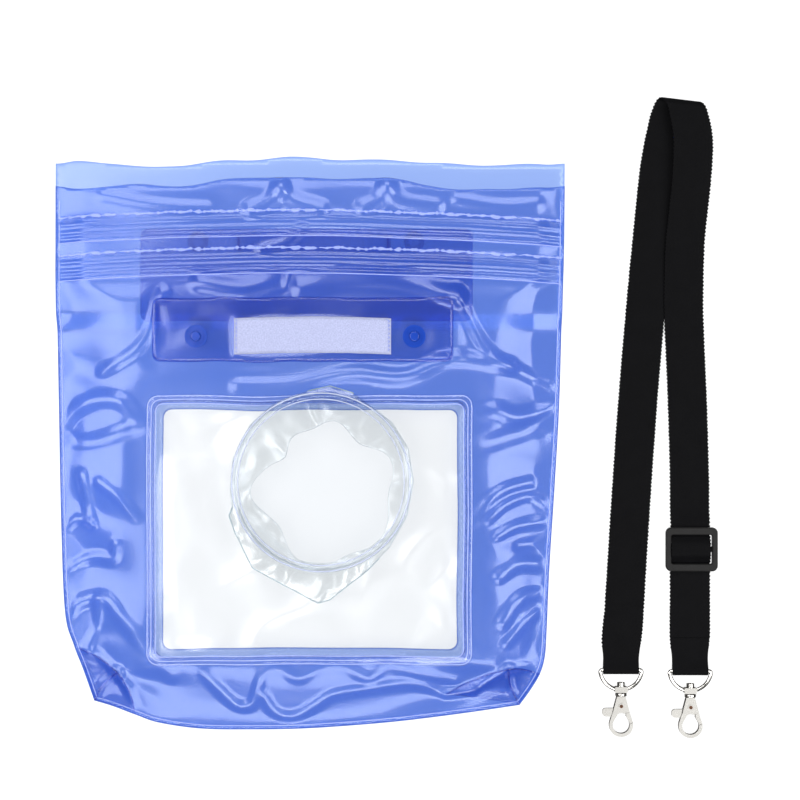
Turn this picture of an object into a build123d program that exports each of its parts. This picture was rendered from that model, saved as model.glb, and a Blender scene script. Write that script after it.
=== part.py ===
"""Waterproof soft case for a single lens reflex camera, with its neck strap beside it.

Millimetres, +Z up. Case and strap lie on Z = 0, the case on its back. +Y points to the
case's mouth and +X to the strap. The origin is the centre of the bounding box's base.

The case is two welded sheets of film. Above the fold line both sheets belong to the top
flap, with two press-to-close tracks between them. A clear window in the front sheet holds
a collapsible sleeve that ends in a rigid lens port.
"""

import os
from math import asin, cos, degrees, radians, sin

from build123d import *

os.makedirs("parts", exist_ok=True)

# Overall: half the width and half the length of the case and the strap together.
HALF_WIDTH = 175.5
HALF_LENGTH = 170.0

# Film: sheet thickness, welded seam width, thickness of the clear window sheets.
FILM = 0.5
SEAM = 2.0
WINDOW_FILM = 0.4
JOIN_GAP = 0.3  # half the free gap between the flap's sheets and the case's at the fold

# Case, seen from above: (Y, X) down each side, from the fold line to the bottom edge.
FOLD_Y = 68.6
MOUTH_FRONT_Y = 122.6
MOUTH_BACK_Y = 134.7
CASE_LEFT = -HALF_WIDTH
CASE_RIGHT = 94.5
LEFT_SIDE = [(68.3, -175.0), (-110, -171.8), (-130, -162.8), (-150.6, -155.4), (-158, -134),
             (-162, -123.6), (-166, -89.7)]
RIGHT_SIDE = [(68.3, 93.4), (9, 91.9), (-33, 89.7), (-110, 86), (-123, 85), (-133.7, 82.9),
              (-153, 70.7), (-161.7, 7.1), (-164.4, -19.9), (-166, -49.5)]

# Case, seen from the side, as (Y, value): top of the back sheet, top of the front sheet,
# and how far inside the seam the front sheet reaches its full height.
RAISED = 4.0  # the back sheet rises by this much over the closure tab
BACK_TOP = [(68.3, RAISED + FILM), (57, RAISED + FILM), (45, FILM), (-166, FILM)]
FRONT_TOP = [(68.3, 8), (64, 10), (-132, 10), (-151, 5), (-160, 2.2), (-166, 1)]
SHOULDER = [(68.3, 6), (64, 24), (-132, 24), (-151, 22), (-160, 14), (-166, 4)]
FRONT_Z = 10.0  # the front sheet's outside where it is flat
FLAP_Z = 8.0  # the front sheet's outside on the top flap

# Windows: clear opening, weld band round it, corner radius.
WINDOW_SIZE = (162.5, 132.8)
WINDOW_CENTRE = (-40.75, -59.3)
WINDOW_WELD = 5.0
WINDOW_CORNER = 5.0
REAR_SHRINK = 6.0  # the rear opening is this much smaller each way

# Lens port.
PORT_CENTRE = (-34.1, -33.6)
PORT_RADIUS = 47.0
PORT_BORE = 43.5
PORT_BEVEL = 44.8
PORT_BASE = 14.0
PORT_TOP = 22.0
DISC_SEAT = 19.5
DISC_THICK = 1.2
SLEEVE_RADIUS = 46.0
SLEEVE_BORE = 45.6
SLEEVE_FOOT = 49.0
CLAMP_RADIUS = 47.8
CLAMP_BASE = 11.3

# Press-to-close tracks: middle of each, height, rise of the middle over the ends.
TRACK_MIDDLES = {"upper": 101.0, "lower": 81.3}
TRACK_HEIGHT = 12.0
TRACK_BOW = 3.0
TRACK_HALF = 127.0
TRACK_X = (CASE_LEFT + CASE_RIGHT) / 2
RIB_PITCH = 2.4

# Snaps and closure strips.
SNAP_X = (-100.3, 14.6)
SNAP_RADIUS = 6.0
SNAP_RING = 4.25
SNAP_BALL = 2.6
SNAP_POST = 1.95
PATCH_THICK = 1.2
PATCH_SIZE = (158.8, 34.0)
PATCH_CENTRE = (-44.2, 46.4)
PATCH_CORNER = 4.0
HOOK_SIZE = (82.6, 19.0)
HOOK_CENTRE = (-38.9, 43.2)
STUD_Y = 42.8
TAB_SIZE = (176.8, 49.5)
TAB_CENTRE = (-42.6, 75.55)
TAB_Z = 1.0
TAB_THICK = 0.6
TAB_WELD_Y = 49.9
TAB_WELD = 4.0
LOOP_Z = TAB_Z + TAB_THICK
LOOP_THICK = 1.4
SOCKET_Y = 93.5
SOCKET_TOP = 3.7

# Strap webbing and its hardware.
WEB = 20.0
WEB_THICK = 1.0
WEB_AT_RING = 19.4
RUN = 6  # stations lofted at a time
FLOOR_LAYER = WEB_THICK / 2
SECOND_LAYER = 1.65
THIRD_LAYER = 2.8
RIGHT_X = 161.2
LEFT_X = 124.4
LEFT_BAR_Y = -134.0
BAR_Z = 3.05
LOOP_RADIUS = 1.75  # webbing centreline round a ring's bar

SLIDER_SIZE = (27.5, 23.3)
SLIDER_WINDOW = (21.6, 15.3)
SLIDER_CENTRE = (HALF_WIDTH - 27.5 / 2, -69.9)
SLIDER_CORNER = 3.0
SLIDER_Z = 3.5
SLIDER_THICK = 2.2
CENTRE_BAR = 3.0
CENTRE_BAR_Z = 2.7
CENTRE_BAR_THICK = 1.4

# Ring and hook, measured down from the middle of the ring's straight bar.
WIRE = 1.0
BAR_HALF = 9.8
KNEE = 1.2
RING_DEPTH = 10.5
BOW_RADIUS = (BAR_HALF ** 2 + (RING_DEPTH - KNEE) ** 2 - KNEE ** 2) / (2 * (RING_DEPTH - 2 * KNEE))
BOW_ANGLE = degrees(asin(BAR_HALF / (BOW_RADIUS - KNEE)))  # from the lowest point to a knee
BOSS_TOP = -8.8
BOSS_BOTTOM = -11.9
BOSS_WIDTH = 6.8
BOSS_THICK = 4.4
POST_RADIUS = 1.05
POST_CLEARANCE = 0.05
HEAD_RADIUS = 2.0
HEAD_HEIGHT = 2.1
COLLAR_RADIUS = 3.0
COLLAR_TOP = -12.1
BODY_TOP = -13.9
BODY_BOTTOM = -22.4
BODY_HALF = (2.25, 4.5)
BODY_THICK = 4.2
RIVET_Y = -19.0
RIVET_RADIUS = 0.8
EYE_Y = -29.05
EYE_RADIUS = 6.35
EYE_BORE = 4.5
EYE_NECK_Y = -25.2
EYE_NECK_BORE = 2.6
EYE_THICK = 3.0
EYE_BOTTOM = EYE_Y - EYE_RADIUS
GATE_THICK = 1.5
GATE_SLOT = 1.7
SLOT_TOP = -15.0
SLOT_BOTTOM = -26.6
GATE_TIP = 10.5
GATE_CLEARANCE = 0.2
EYE_END_X = 1.5  # the body's own wall of the eye stops here
GATE_START_X = 2.6  # far enough over to turn clear of that wall
RIGHT_BAR_Y = -HALF_LENGTH - EYE_BOTTOM


def between(table, y):
    """The value at y in a list of (Y, value) that runs from the fold line downwards."""
    for (y0, v0), (y1, v1) in zip(table, table[1:]):
        if y1 <= y <= y0:
            return v0 + (v1 - v0) * (y0 - y) / (y0 - y1)
    return table[0][1] if y > table[0][0] else table[-1][1]


def cross_section(y, inset, drop):
    """The front sheet's outer section at y, or its inner one: inset, and dropped from the top."""
    left, right = between(LEFT_SIDE, y) + inset, between(RIGHT_SIDE, y) - inset
    base, top = between(BACK_TOP, y), between(FRONT_TOP, y) - drop
    run = between(SHOULDER, y) - inset / 2
    edge = base + FILM - drop
    low = base - 2 * drop
    return [(left, low), (left, edge), (left + run, top), (right - run, top), (right, edge), (right, low)]


def shell(rows, inset, drop, mode):
    """Lofts the sections at these rows, one pair at a time."""
    sections = []
    for y in rows:
        with BuildSketch(plane_at(y)) as section:
            with BuildLine():
                Polyline(*cross_section(y, inset, drop), close=True)
            make_face()
        sections.append(section.sketch)
    for pair in zip(sections, sections[1:]):
        loft(pair, ruled=True, mode=mode)


def station_rows():
    """Every Y where a side or a height of the case changes direction, from top to bottom."""
    rows = {y for table in (LEFT_SIDE, RIGHT_SIDE, BACK_TOP, FRONT_TOP) for y, _ in table}
    return sorted(rows, reverse=True)


def plane_at(y):
    """A plane across the case at y, with sketch X along +X and sketch Y along +Z."""
    return Plane(origin=(0, y, 0), x_dir=(1, 0, 0), z_dir=(0, -1, 0))


def rounded_sheet(centre, size, corner, z, thick, mode=Mode.ADD):
    """A flat sheet with rounded corners, its underside at z."""
    with BuildSketch(Plane.XY.offset(z)) as outline:
        with Locations(centre):
            RectangleRounded(*size, corner)
    extrude(outline.sketch, amount=thick, mode=mode)


def disc(centre, radius, z, thick, mode=Mode.ADD):
    """A flat round piece, its underside at z."""
    with BuildSketch(Plane.XY.offset(z)) as outline:
        with Locations(centre):
            Circle(radius)
    extrude(outline.sketch, amount=thick, mode=mode)


def ribbon(stations):
    """Webbing through stations of (x, y, z, width's angle in degrees, width)."""
    points = [Vector(*s[:3]) for s in stations]
    sections = []
    for i, (_, _, _, turn, width) in enumerate(stations):
        ahead = (points[min(i + 1, len(points) - 1)] - points[i]) if i + 1 < len(points) else None
        behind = (points[i] - points[i - 1]) if i else None
        travel = sum((v.normalized() for v in (ahead, behind) if v is not None), Vector())
        across = Vector(cos(radians(turn)), sin(radians(turn)), 0)
        travel = (travel - across * travel.dot(across)).normalized()
        with BuildSketch(Plane(origin=points[i], x_dir=across, z_dir=travel)) as section:
            Rectangle(width, WEB_THICK)
        sections.append(section.sketch)
    for first in range(0, len(sections) - 1, RUN):
        loft(sections[first:first + RUN + 1], ruled=True)


def round_bar(x, y, z, radius, first, last, step=45, width=WEB_AT_RING):
    """Stations round a bar along X, from angle first to last: 0 is towards +Y, 90 is up."""
    count = round(abs(last - first) / step)
    turn = (last - first) / count
    angles = [radians(first + i * turn) for i in range(count + 1)]
    return [(x, y + radius * cos(a), z + radius * sin(a), 0, width) for a in angles]


# ---------------------------------------------------------------- case: sheets and windows

with BuildPart() as back_panel:
    with BuildSketch(Plane.YZ.offset(CASE_LEFT - 5)):
        with BuildLine():
            upper = [(y, z) for y, z in BACK_TOP]
            Polyline(*upper, *[(y, z - FILM) for y, z in reversed(upper)], close=True)
        make_face()
    extrude(amount=2 * HALF_WIDTH)
    with BuildSketch():
        with BuildLine():
            Polyline(*[(x, y) for y, x in LEFT_SIDE], *[(x, y) for y, x in reversed(RIGHT_SIDE)], close=True)
        make_face()
    extrude(amount=FRONT_Z, mode=Mode.INTERSECT)
    rear_size = (WINDOW_SIZE[0] - REAR_SHRINK, WINDOW_SIZE[1] - REAR_SHRINK)
    rounded_sheet(WINDOW_CENTRE, rear_size, WINDOW_CORNER, 0, FILM, Mode.SUBTRACT)
back_panel.part.label = "back_panel"
export_step(back_panel.part, "parts/back_panel.step")

with BuildPart() as rear_window:
    outer = (rear_size[0] + 2 * WINDOW_WELD, rear_size[1] + 2 * WINDOW_WELD)
    rounded_sheet(WINDOW_CENTRE, outer, WINDOW_CORNER, FILM, WINDOW_FILM)
rear_window.part.label = "rear_window"
export_step(rear_window.part, "parts/rear_window.step")

with BuildPart() as front_panel:
    shell(station_rows(), 0, 0, Mode.ADD)
    inner_rows = [FOLD_Y + 2] + [y for y in station_rows() if y > -162] + [-162]
    shell(inner_rows, SEAM, FILM, Mode.SUBTRACT)
    rounded_sheet(WINDOW_CENTRE, WINDOW_SIZE, WINDOW_CORNER, FRONT_Z - 1, 2, Mode.SUBTRACT)
front_panel.part.label = "front_panel"
export_step(front_panel.part, "parts/front_panel.step")

with BuildPart() as front_window:
    outer = (WINDOW_SIZE[0] + 2 * WINDOW_WELD, WINDOW_SIZE[1] + 2 * WINDOW_WELD)
    rounded_sheet(WINDOW_CENTRE, outer, WINDOW_CORNER, FRONT_Z, WINDOW_FILM)
    disc(PORT_CENTRE, SLEEVE_BORE, FRONT_Z - 1, 2, Mode.SUBTRACT)
front_window.part.label = "front_window"
export_step(front_window.part, "parts/front_window.step")

# ---------------------------------------------------------------- lens sleeve and port

PORT_PLANE = Plane(origin=(*PORT_CENTRE, 0), x_dir=(1, 0, 0), z_dir=(0, -1, 0))
PORT_AXIS = Axis((*PORT_CENTRE, 0), (0, 0, 1))


def turned(profile):
    """A ring about the port's axis from a profile of (radius, height)."""
    with BuildSketch(PORT_PLANE) as section:
        with BuildLine():
            Polyline(*profile, close=True)
        make_face()
    revolve(section.sketch, axis=PORT_AXIS)


with BuildPart() as lens_sleeve:
    foot = FRONT_Z + WINDOW_FILM
    turned([(SLEEVE_BORE, foot), (SLEEVE_FOOT, foot), (SLEEVE_FOOT, foot + WINDOW_FILM),
            (SLEEVE_RADIUS, foot + WINDOW_FILM), (SLEEVE_RADIUS, PORT_BASE), (SLEEVE_BORE, PORT_BASE)])
lens_sleeve.part.label = "lens_sleeve"
export_step(lens_sleeve.part, "parts/lens_sleeve.step")

with BuildPart() as lens_ring:
    turned([(PORT_BORE, PORT_BASE), (PORT_RADIUS, PORT_BASE), (PORT_RADIUS, PORT_TOP - 0.6),
            (PORT_RADIUS - 0.6, PORT_TOP), (PORT_BEVEL, PORT_TOP), (PORT_BEVEL, DISC_SEAT),
            (PORT_BORE, DISC_SEAT)])
lens_ring.part.label = "lens_ring"
export_step(lens_ring.part, "parts/lens_ring.step")

with BuildPart() as lens_disc:
    disc(PORT_CENTRE, PORT_BEVEL, DISC_SEAT, DISC_THICK)
    fillet(lens_disc.edges().group_by(Axis.Z)[-1], 0.4)
lens_disc.part.label = "lens_disc"
export_step(lens_disc.part, "parts/lens_disc.step")

with BuildPart() as sleeve_clamp:
    bore = SLEEVE_RADIUS + 0.2
    turned([(bore, CLAMP_BASE), (CLAMP_RADIUS, CLAMP_BASE), (CLAMP_RADIUS, PORT_BASE), (bore, PORT_BASE)])
    fillet(sleeve_clamp.edges().filter_by(GeomType.CIRCLE).group_by(SortBy.RADIUS)[-1], 0.6)
sleeve_clamp.part.label = "sleeve_clamp"
export_step(sleeve_clamp.part, "parts/sleeve_clamp.step")

# ---------------------------------------------------------------- top flap and its tracks

FLAP_BASE_Y = FOLD_Y + JOIN_GAP
FLAP_BACK = RAISED + FILM

with BuildPart() as back_lip:
    with BuildSketch(Plane.XY.offset(RAISED)):
        with BuildLine():
            Polyline((CASE_LEFT, FLAP_BASE_Y), (CASE_RIGHT, FLAP_BASE_Y), (CASE_RIGHT, MOUTH_BACK_Y),
                     (CASE_LEFT, MOUTH_BACK_Y), close=True)
        make_face()
    extrude(amount=FILM)
back_lip.part.label = "back_lip"
export_step(back_lip.part, "parts/back_lip.step")

with BuildPart() as front_lip:
    slope = 6
    with BuildSketch(plane_at(FLAP_BASE_Y)):
        with BuildLine():
            left, right = CASE_LEFT, CASE_RIGHT
            Polyline((left, FLAP_BACK), (left, FLAP_BACK + FILM), (left + slope, FLAP_Z),
                     (right - slope, FLAP_Z), (right, FLAP_BACK + FILM), (right, FLAP_BACK),
                     (right - SEAM, FLAP_BACK),
                     (right - slope - 0.4, FLAP_Z - FILM), (left + slope + 0.4, FLAP_Z - FILM),
                     (left + SEAM, FLAP_BACK), close=True)
        make_face()
    extrude(amount=-(MOUTH_FRONT_Y - FLAP_BASE_Y))
front_lip.part.label = "front_lip"
export_step(front_lip.part, "parts/front_lip.step")

TRACK_RADIUS = TRACK_HALF ** 2 / (2 * TRACK_BOW)
TRACK_ANGLE = degrees(2 * TRACK_HALF / TRACK_RADIUS)
GROOVE = 0.9  # depth of the grooves and height of the ribs that press into them
TRACK_SPLIT = (FLAP_BACK + FLAP_Z - FILM) / 2


def track_profile(middle, base, split):
    """(Y, Z) outline of one half: a strip from base to split, ribs or grooves at the split."""
    half = TRACK_HEIGHT / 2
    points = [(middle - half, base), (middle - half, split)]
    count = int(TRACK_HEIGHT / RIB_PITCH) - 1
    for i in range(count):
        centre = middle + (i - (count - 1) / 2) * RIB_PITCH
        width = RIB_PITCH / 4
        points += [(centre - width, split), (centre - width, split - GROOVE), (centre + width, split - GROOVE),
                   (centre + width, split)]
    return points + [(middle + half, split), (middle + half, base)]


def track_half(middle, base):
    """One half of a track, curved a little so that its middle stands nearer the mouth."""
    top = middle + TRACK_BOW / 2
    turn_axis = Axis((TRACK_X, top - TRACK_RADIUS, 0), (0, 0, 1))
    with BuildSketch(Plane.YZ.offset(TRACK_X)) as profile:
        with BuildLine():
            Polyline(*track_profile(top, base, TRACK_SPLIT), close=True)
        make_face()
    for arc in (TRACK_ANGLE / 2, -TRACK_ANGLE / 2):
        revolve(profile.sketch, axis=turn_axis, revolution_arc=arc)


for level, middle in TRACK_MIDDLES.items():
    for kind, base in (("female", FLAP_BACK), ("male", FLAP_Z - FILM)):
        with BuildPart() as track:
            track_half(middle, base)
        name = f"{level}_track_{kind}"
        track.part.label = name
        export_step(track.part, f"parts/{name}.step")

# ---------------------------------------------------------------- closure on the front

with BuildPart() as closure_patch:
    rounded_sheet(PATCH_CENTRE, PATCH_SIZE, PATCH_CORNER, FRONT_Z, PATCH_THICK)
    for x in SNAP_X:
        disc((x, STUD_Y), SNAP_RADIUS - 0.4, FRONT_Z, PATCH_THICK / 2, Mode.SUBTRACT)
        disc((x, STUD_Y), SNAP_POST + 0.05, FRONT_Z, PATCH_THICK, Mode.SUBTRACT)
closure_patch.part.label = "closure_patch"
export_step(closure_patch.part, "parts/closure_patch.step")

with BuildPart() as hook_strip:
    rounded_sheet(HOOK_CENTRE, HOOK_SIZE, 1.0, FRONT_Z + PATCH_THICK, LOOP_THICK)
hook_strip.part.label = "hook_strip"
export_step(hook_strip.part, "parts/hook_strip.step")

for side, x in zip(("left", "right"), SNAP_X):
    top = FRONT_Z + PATCH_THICK
    with BuildPart() as stud:
        disc((x, STUD_Y), SNAP_RADIUS, top, 1.0)
        disc((x, STUD_Y), SNAP_RING, top + 1.0, 0.6)
        disc((x, STUD_Y), SNAP_BALL, top + 1.6, 1.6)
        fillet(stud.edges().group_by(Axis.Z)[-1], 0.7)
        disc((x, STUD_Y), SNAP_POST + 0.05, top, 1.0, Mode.SUBTRACT)
    stud.part.label = f"stud_{side}"
    export_step(stud.part, f"parts/stud_{side}.step")

    with BuildPart() as stud_cap:
        disc((x, STUD_Y), SNAP_RADIUS - 0.4, FRONT_Z, PATCH_THICK / 2)
        disc((x, STUD_Y), SNAP_POST, FRONT_Z, PATCH_THICK + 0.9)
    stud_cap.part.label = f"stud_cap_{side}"
    export_step(stud_cap.part, f"parts/stud_cap_{side}.step")

# ---------------------------------------------------------------- closure tab on the back

with BuildPart() as tab_weld:
    with BuildSketch(Plane.YZ.offset(TAB_CENTRE[0] - TAB_SIZE[0] / 2)):
        with BuildLine():
            near, far = TAB_WELD_Y - TAB_WELD, TAB_WELD_Y + 0.1
            rise = RAISED / 12
            Polyline((near, (near - 45) * rise), (far, (far - 45) * rise), (far, TAB_Z), (near, 0),
                     close=True)
        make_face()
    extrude(amount=TAB_SIZE[0])
tab_weld.part.label = "tab_weld"
export_step(tab_weld.part, "parts/tab_weld.step")

with BuildPart() as closure_tab:
    rounded_sheet(TAB_CENTRE, TAB_SIZE, PATCH_CORNER, TAB_Z, TAB_THICK)
    for x in SNAP_X:
        disc((x, SOCKET_Y), SNAP_POST + 0.05, TAB_Z, TAB_THICK, Mode.SUBTRACT)
closure_tab.part.label = "closure_tab"
export_step(closure_tab.part, "parts/closure_tab.step")

with BuildPart() as loop_strip:
    rounded_sheet((HOOK_CENTRE[0], SOCKET_Y - 1), (HOOK_SIZE[0], 10), 1.0, LOOP_Z, LOOP_THICK)
loop_strip.part.label = "loop_strip"
export_step(loop_strip.part, "parts/loop_strip.step")

for side, x in zip(("left", "right"), SNAP_X):
    with BuildPart() as socket:
        disc((x, SOCKET_Y), SNAP_RADIUS - 0.5, LOOP_Z, 0.8)
        disc((x, SOCKET_Y), SNAP_RING, LOOP_Z, SOCKET_TOP - LOOP_Z)
        disc((x, SOCKET_Y), SNAP_BALL + 0.1, LOOP_Z, SOCKET_TOP - LOOP_Z, Mode.SUBTRACT)
    socket.part.label = f"socket_{side}"
    export_step(socket.part, f"parts/socket_{side}.step")

    with BuildPart() as socket_cap:
        disc((x, SOCKET_Y), SNAP_RADIUS - 0.5, 0, TAB_Z)
        fillet(socket_cap.edges().group_by(Axis.Z)[0], 0.4)
        disc((x, SOCKET_Y), SNAP_POST, TAB_Z, TAB_THICK + 0.3)
    socket_cap.part.label = f"socket_cap_{side}"
    export_step(socket_cap.part, f"parts/socket_cap_{side}.step")

# ---------------------------------------------------------------- strap webbing

STRAP_END_Y = -116.7
SLIDER_Y = SLIDER_CENTRE[1]

LEFT_LEG = [
    (126.2, -104, FLOOR_LAYER, -2, WEB), (124.6, -127, FLOOR_LAYER, 0, WEB_AT_RING),
    *round_bar(LEFT_X, LEFT_BAR_Y, BAR_Z, LOOP_RADIUS, -90, -270),
    (124.6, -127, SECOND_LAYER, 0, WEB_AT_RING), (126.3, -102, SECOND_LAYER, -3, WEB),
    (126.8, -95, FLOOR_LAYER, -3.4, WEB), (130, -43.7, FLOOR_LAYER, -3, WEB),
    (132.6, 9.3, FLOOR_LAYER, -3.2, WEB), (136.3, 67, FLOOR_LAYER, -5.5, WEB),
    (140.8, 99.8, FLOOR_LAYER, -8, WEB), (145.3, 132.6, FLOOR_LAYER, -9.5, WEB),
    (149.4, 154, FLOOR_LAYER, -11, WEB),
]
TOP_FOLD = [
    (151.6, 162.2, 1.0, -9, WEB), (153.6, 166.8, 2.2, -8, WEB), (155.4, 168.25, 4.2, -7.2, WEB),
    (157.4, 167, 6.3, -6, WEB), (159.4, 162.4, 7.6, -5, WEB),
]
RIGHT_LEG = [
    (162.2, 149, 7.2, -1, WEB), (161.4, 132, 5.8, 3, WEB), (159.6, 112, 3.9, 3.5, WEB),
    (158.9, 92, 2.4, 1.5, WEB), (158.8, 72, 1.1, -1, WEB), (159.2, 52, FLOOR_LAYER, -1.5, WEB),
    (160.3, 9, FLOOR_LAYER, -1.5, WEB), (161.1, -30, FLOOR_LAYER, -0.8, WEB),
    (RIGHT_X, -47, FLOOR_LAYER, 0, WEB),
]
WEAVE = [
    (RIGHT_X, SLIDER_Y + 13.5, THIRD_LAYER, 0, WEB), (RIGHT_X, SLIDER_Y + 7.4, THIRD_LAYER, 0, WEB),
    (RIGHT_X, SLIDER_Y + 2.6, 5.9, 0, WEB), (RIGHT_X, SLIDER_Y - 2.6, 5.9, 0, WEB),
    (RIGHT_X, SLIDER_Y - 7.4, THIRD_LAYER, 0, WEB), (RIGHT_X, SLIDER_Y - 13.5, THIRD_LAYER, 0, WEB),
    (RIGHT_X, STRAP_END_Y, THIRD_LAYER, 0, WEB),
]

with BuildPart() as long_webbing:
    ribbon(LEFT_LEG + TOP_FOLD + RIGHT_LEG + WEAVE)
long_webbing.part.label = "long_webbing"
export_step(long_webbing.part, "parts/long_webbing.step")

SEWN_Y = -100.0
WRAP_Z = CENTRE_BAR_Z + CENTRE_BAR_THICK / 2
WRAP_HALF = CENTRE_BAR / 2
WRAP_OFF = CENTRE_BAR_THICK / 2 + 0.1 + FLOOR_LAYER

with BuildPart() as short_webbing:
    ribbon([
        (RIGHT_X, SEWN_Y - 0.2, FLOOR_LAYER, 0, WEB), (RIGHT_X, -127, FLOOR_LAYER, 0, WEB_AT_RING),
        *round_bar(RIGHT_X, RIGHT_BAR_Y, BAR_Z, LOOP_RADIUS, -90, -270),
        (RIGHT_X, -127, SECOND_LAYER, 0, WEB_AT_RING), (RIGHT_X, SLIDER_Y - 7, SECOND_LAYER, 0, WEB),
        (RIGHT_X, SLIDER_Y - WRAP_HALF - 0.8, WRAP_Z + WRAP_OFF, 0, WEB),
        (RIGHT_X, SLIDER_Y + WRAP_HALF, WRAP_Z + WRAP_OFF, 0, WEB),
        *round_bar(RIGHT_X, SLIDER_Y + WRAP_HALF + 0.1, WRAP_Z, WRAP_OFF, 60, -60, 60, WEB),
        (RIGHT_X, SLIDER_Y + WRAP_HALF, WRAP_Z - WRAP_OFF, 0, WEB),
        (RIGHT_X, SLIDER_Y - WRAP_HALF, WRAP_Z - WRAP_OFF, 0, WEB),
        (RIGHT_X, SLIDER_Y - 10, FLOOR_LAYER, 0, WEB), (RIGHT_X, SEWN_Y + 0.2, FLOOR_LAYER, 0, WEB),
    ])
short_webbing.part.label = "short_webbing"
export_step(short_webbing.part, "parts/short_webbing.step")

with BuildPart() as slider_frame:
    slider_height = SLIDER_Z + SLIDER_THICK - CENTRE_BAR_Z
    rounded_sheet(SLIDER_CENTRE, SLIDER_SIZE, SLIDER_CORNER, CENTRE_BAR_Z, slider_height)
    rounded_sheet(SLIDER_CENTRE, SLIDER_WINDOW, 1.0, CENTRE_BAR_Z, SLIDER_THICK * 2, Mode.SUBTRACT)
    chamfer(slider_frame.edges().group_by(Axis.Z)[-1], 0.5)
    with BuildSketch(Plane.XY.offset(CENTRE_BAR_Z)):
        with Locations(SLIDER_CENTRE):
            Rectangle(SLIDER_WINDOW[0], SLIDER_SIZE[1])
    extrude(amount=SLIDER_Z - CENTRE_BAR_Z, mode=Mode.SUBTRACT)
    with BuildSketch(Plane.XY.offset(CENTRE_BAR_Z)):
        with Locations(SLIDER_CENTRE):
            Rectangle(SLIDER_WINDOW[0] + 2, CENTRE_BAR)
    extrude(amount=CENTRE_BAR_THICK)
slider_frame.part.label = "slider_frame"
export_step(slider_frame.part, "parts/slider_frame.step")

# ---------------------------------------------------------------- rings, hooks and gates


def eye_wall():
    """The wall of the hook's eye, seen from above: a teardrop with a teardrop hole."""
    with BuildSketch() as hole:
        with BuildLine():
            CenterArc((0, EYE_Y), EYE_BORE, 0, 360)
            CenterArc((0, EYE_NECK_Y), EYE_NECK_BORE, 0, 360)
        make_hull()
    with BuildSketch() as wall:
        with BuildLine():
            CenterArc((0, EYE_Y), EYE_RADIUS, 0, 360)
            Line((-BODY_HALF[1], BODY_BOTTOM), (BODY_HALF[1], BODY_BOTTOM))
        make_hull()
        add(hole.sketch, mode=Mode.SUBTRACT)
    return wall.sketch


def gate_zone(radius, left, top):
    """The part of the eye that the gate closes: within radius of the rivet, right of left, below top."""
    with BuildSketch() as zone:
        with Locations((0, RIVET_Y)):
            Circle(radius)
        with Locations((left + 5, top - 10)):
            Rectangle(10, 20, mode=Mode.INTERSECT)
    return zone.sketch


def hook_plane(x, y, z=0.0):
    """A horizontal plane whose origin is the middle of a ring's bar, moved up by z."""
    return Plane(origin=(x, y, BAR_Z + z))


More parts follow.
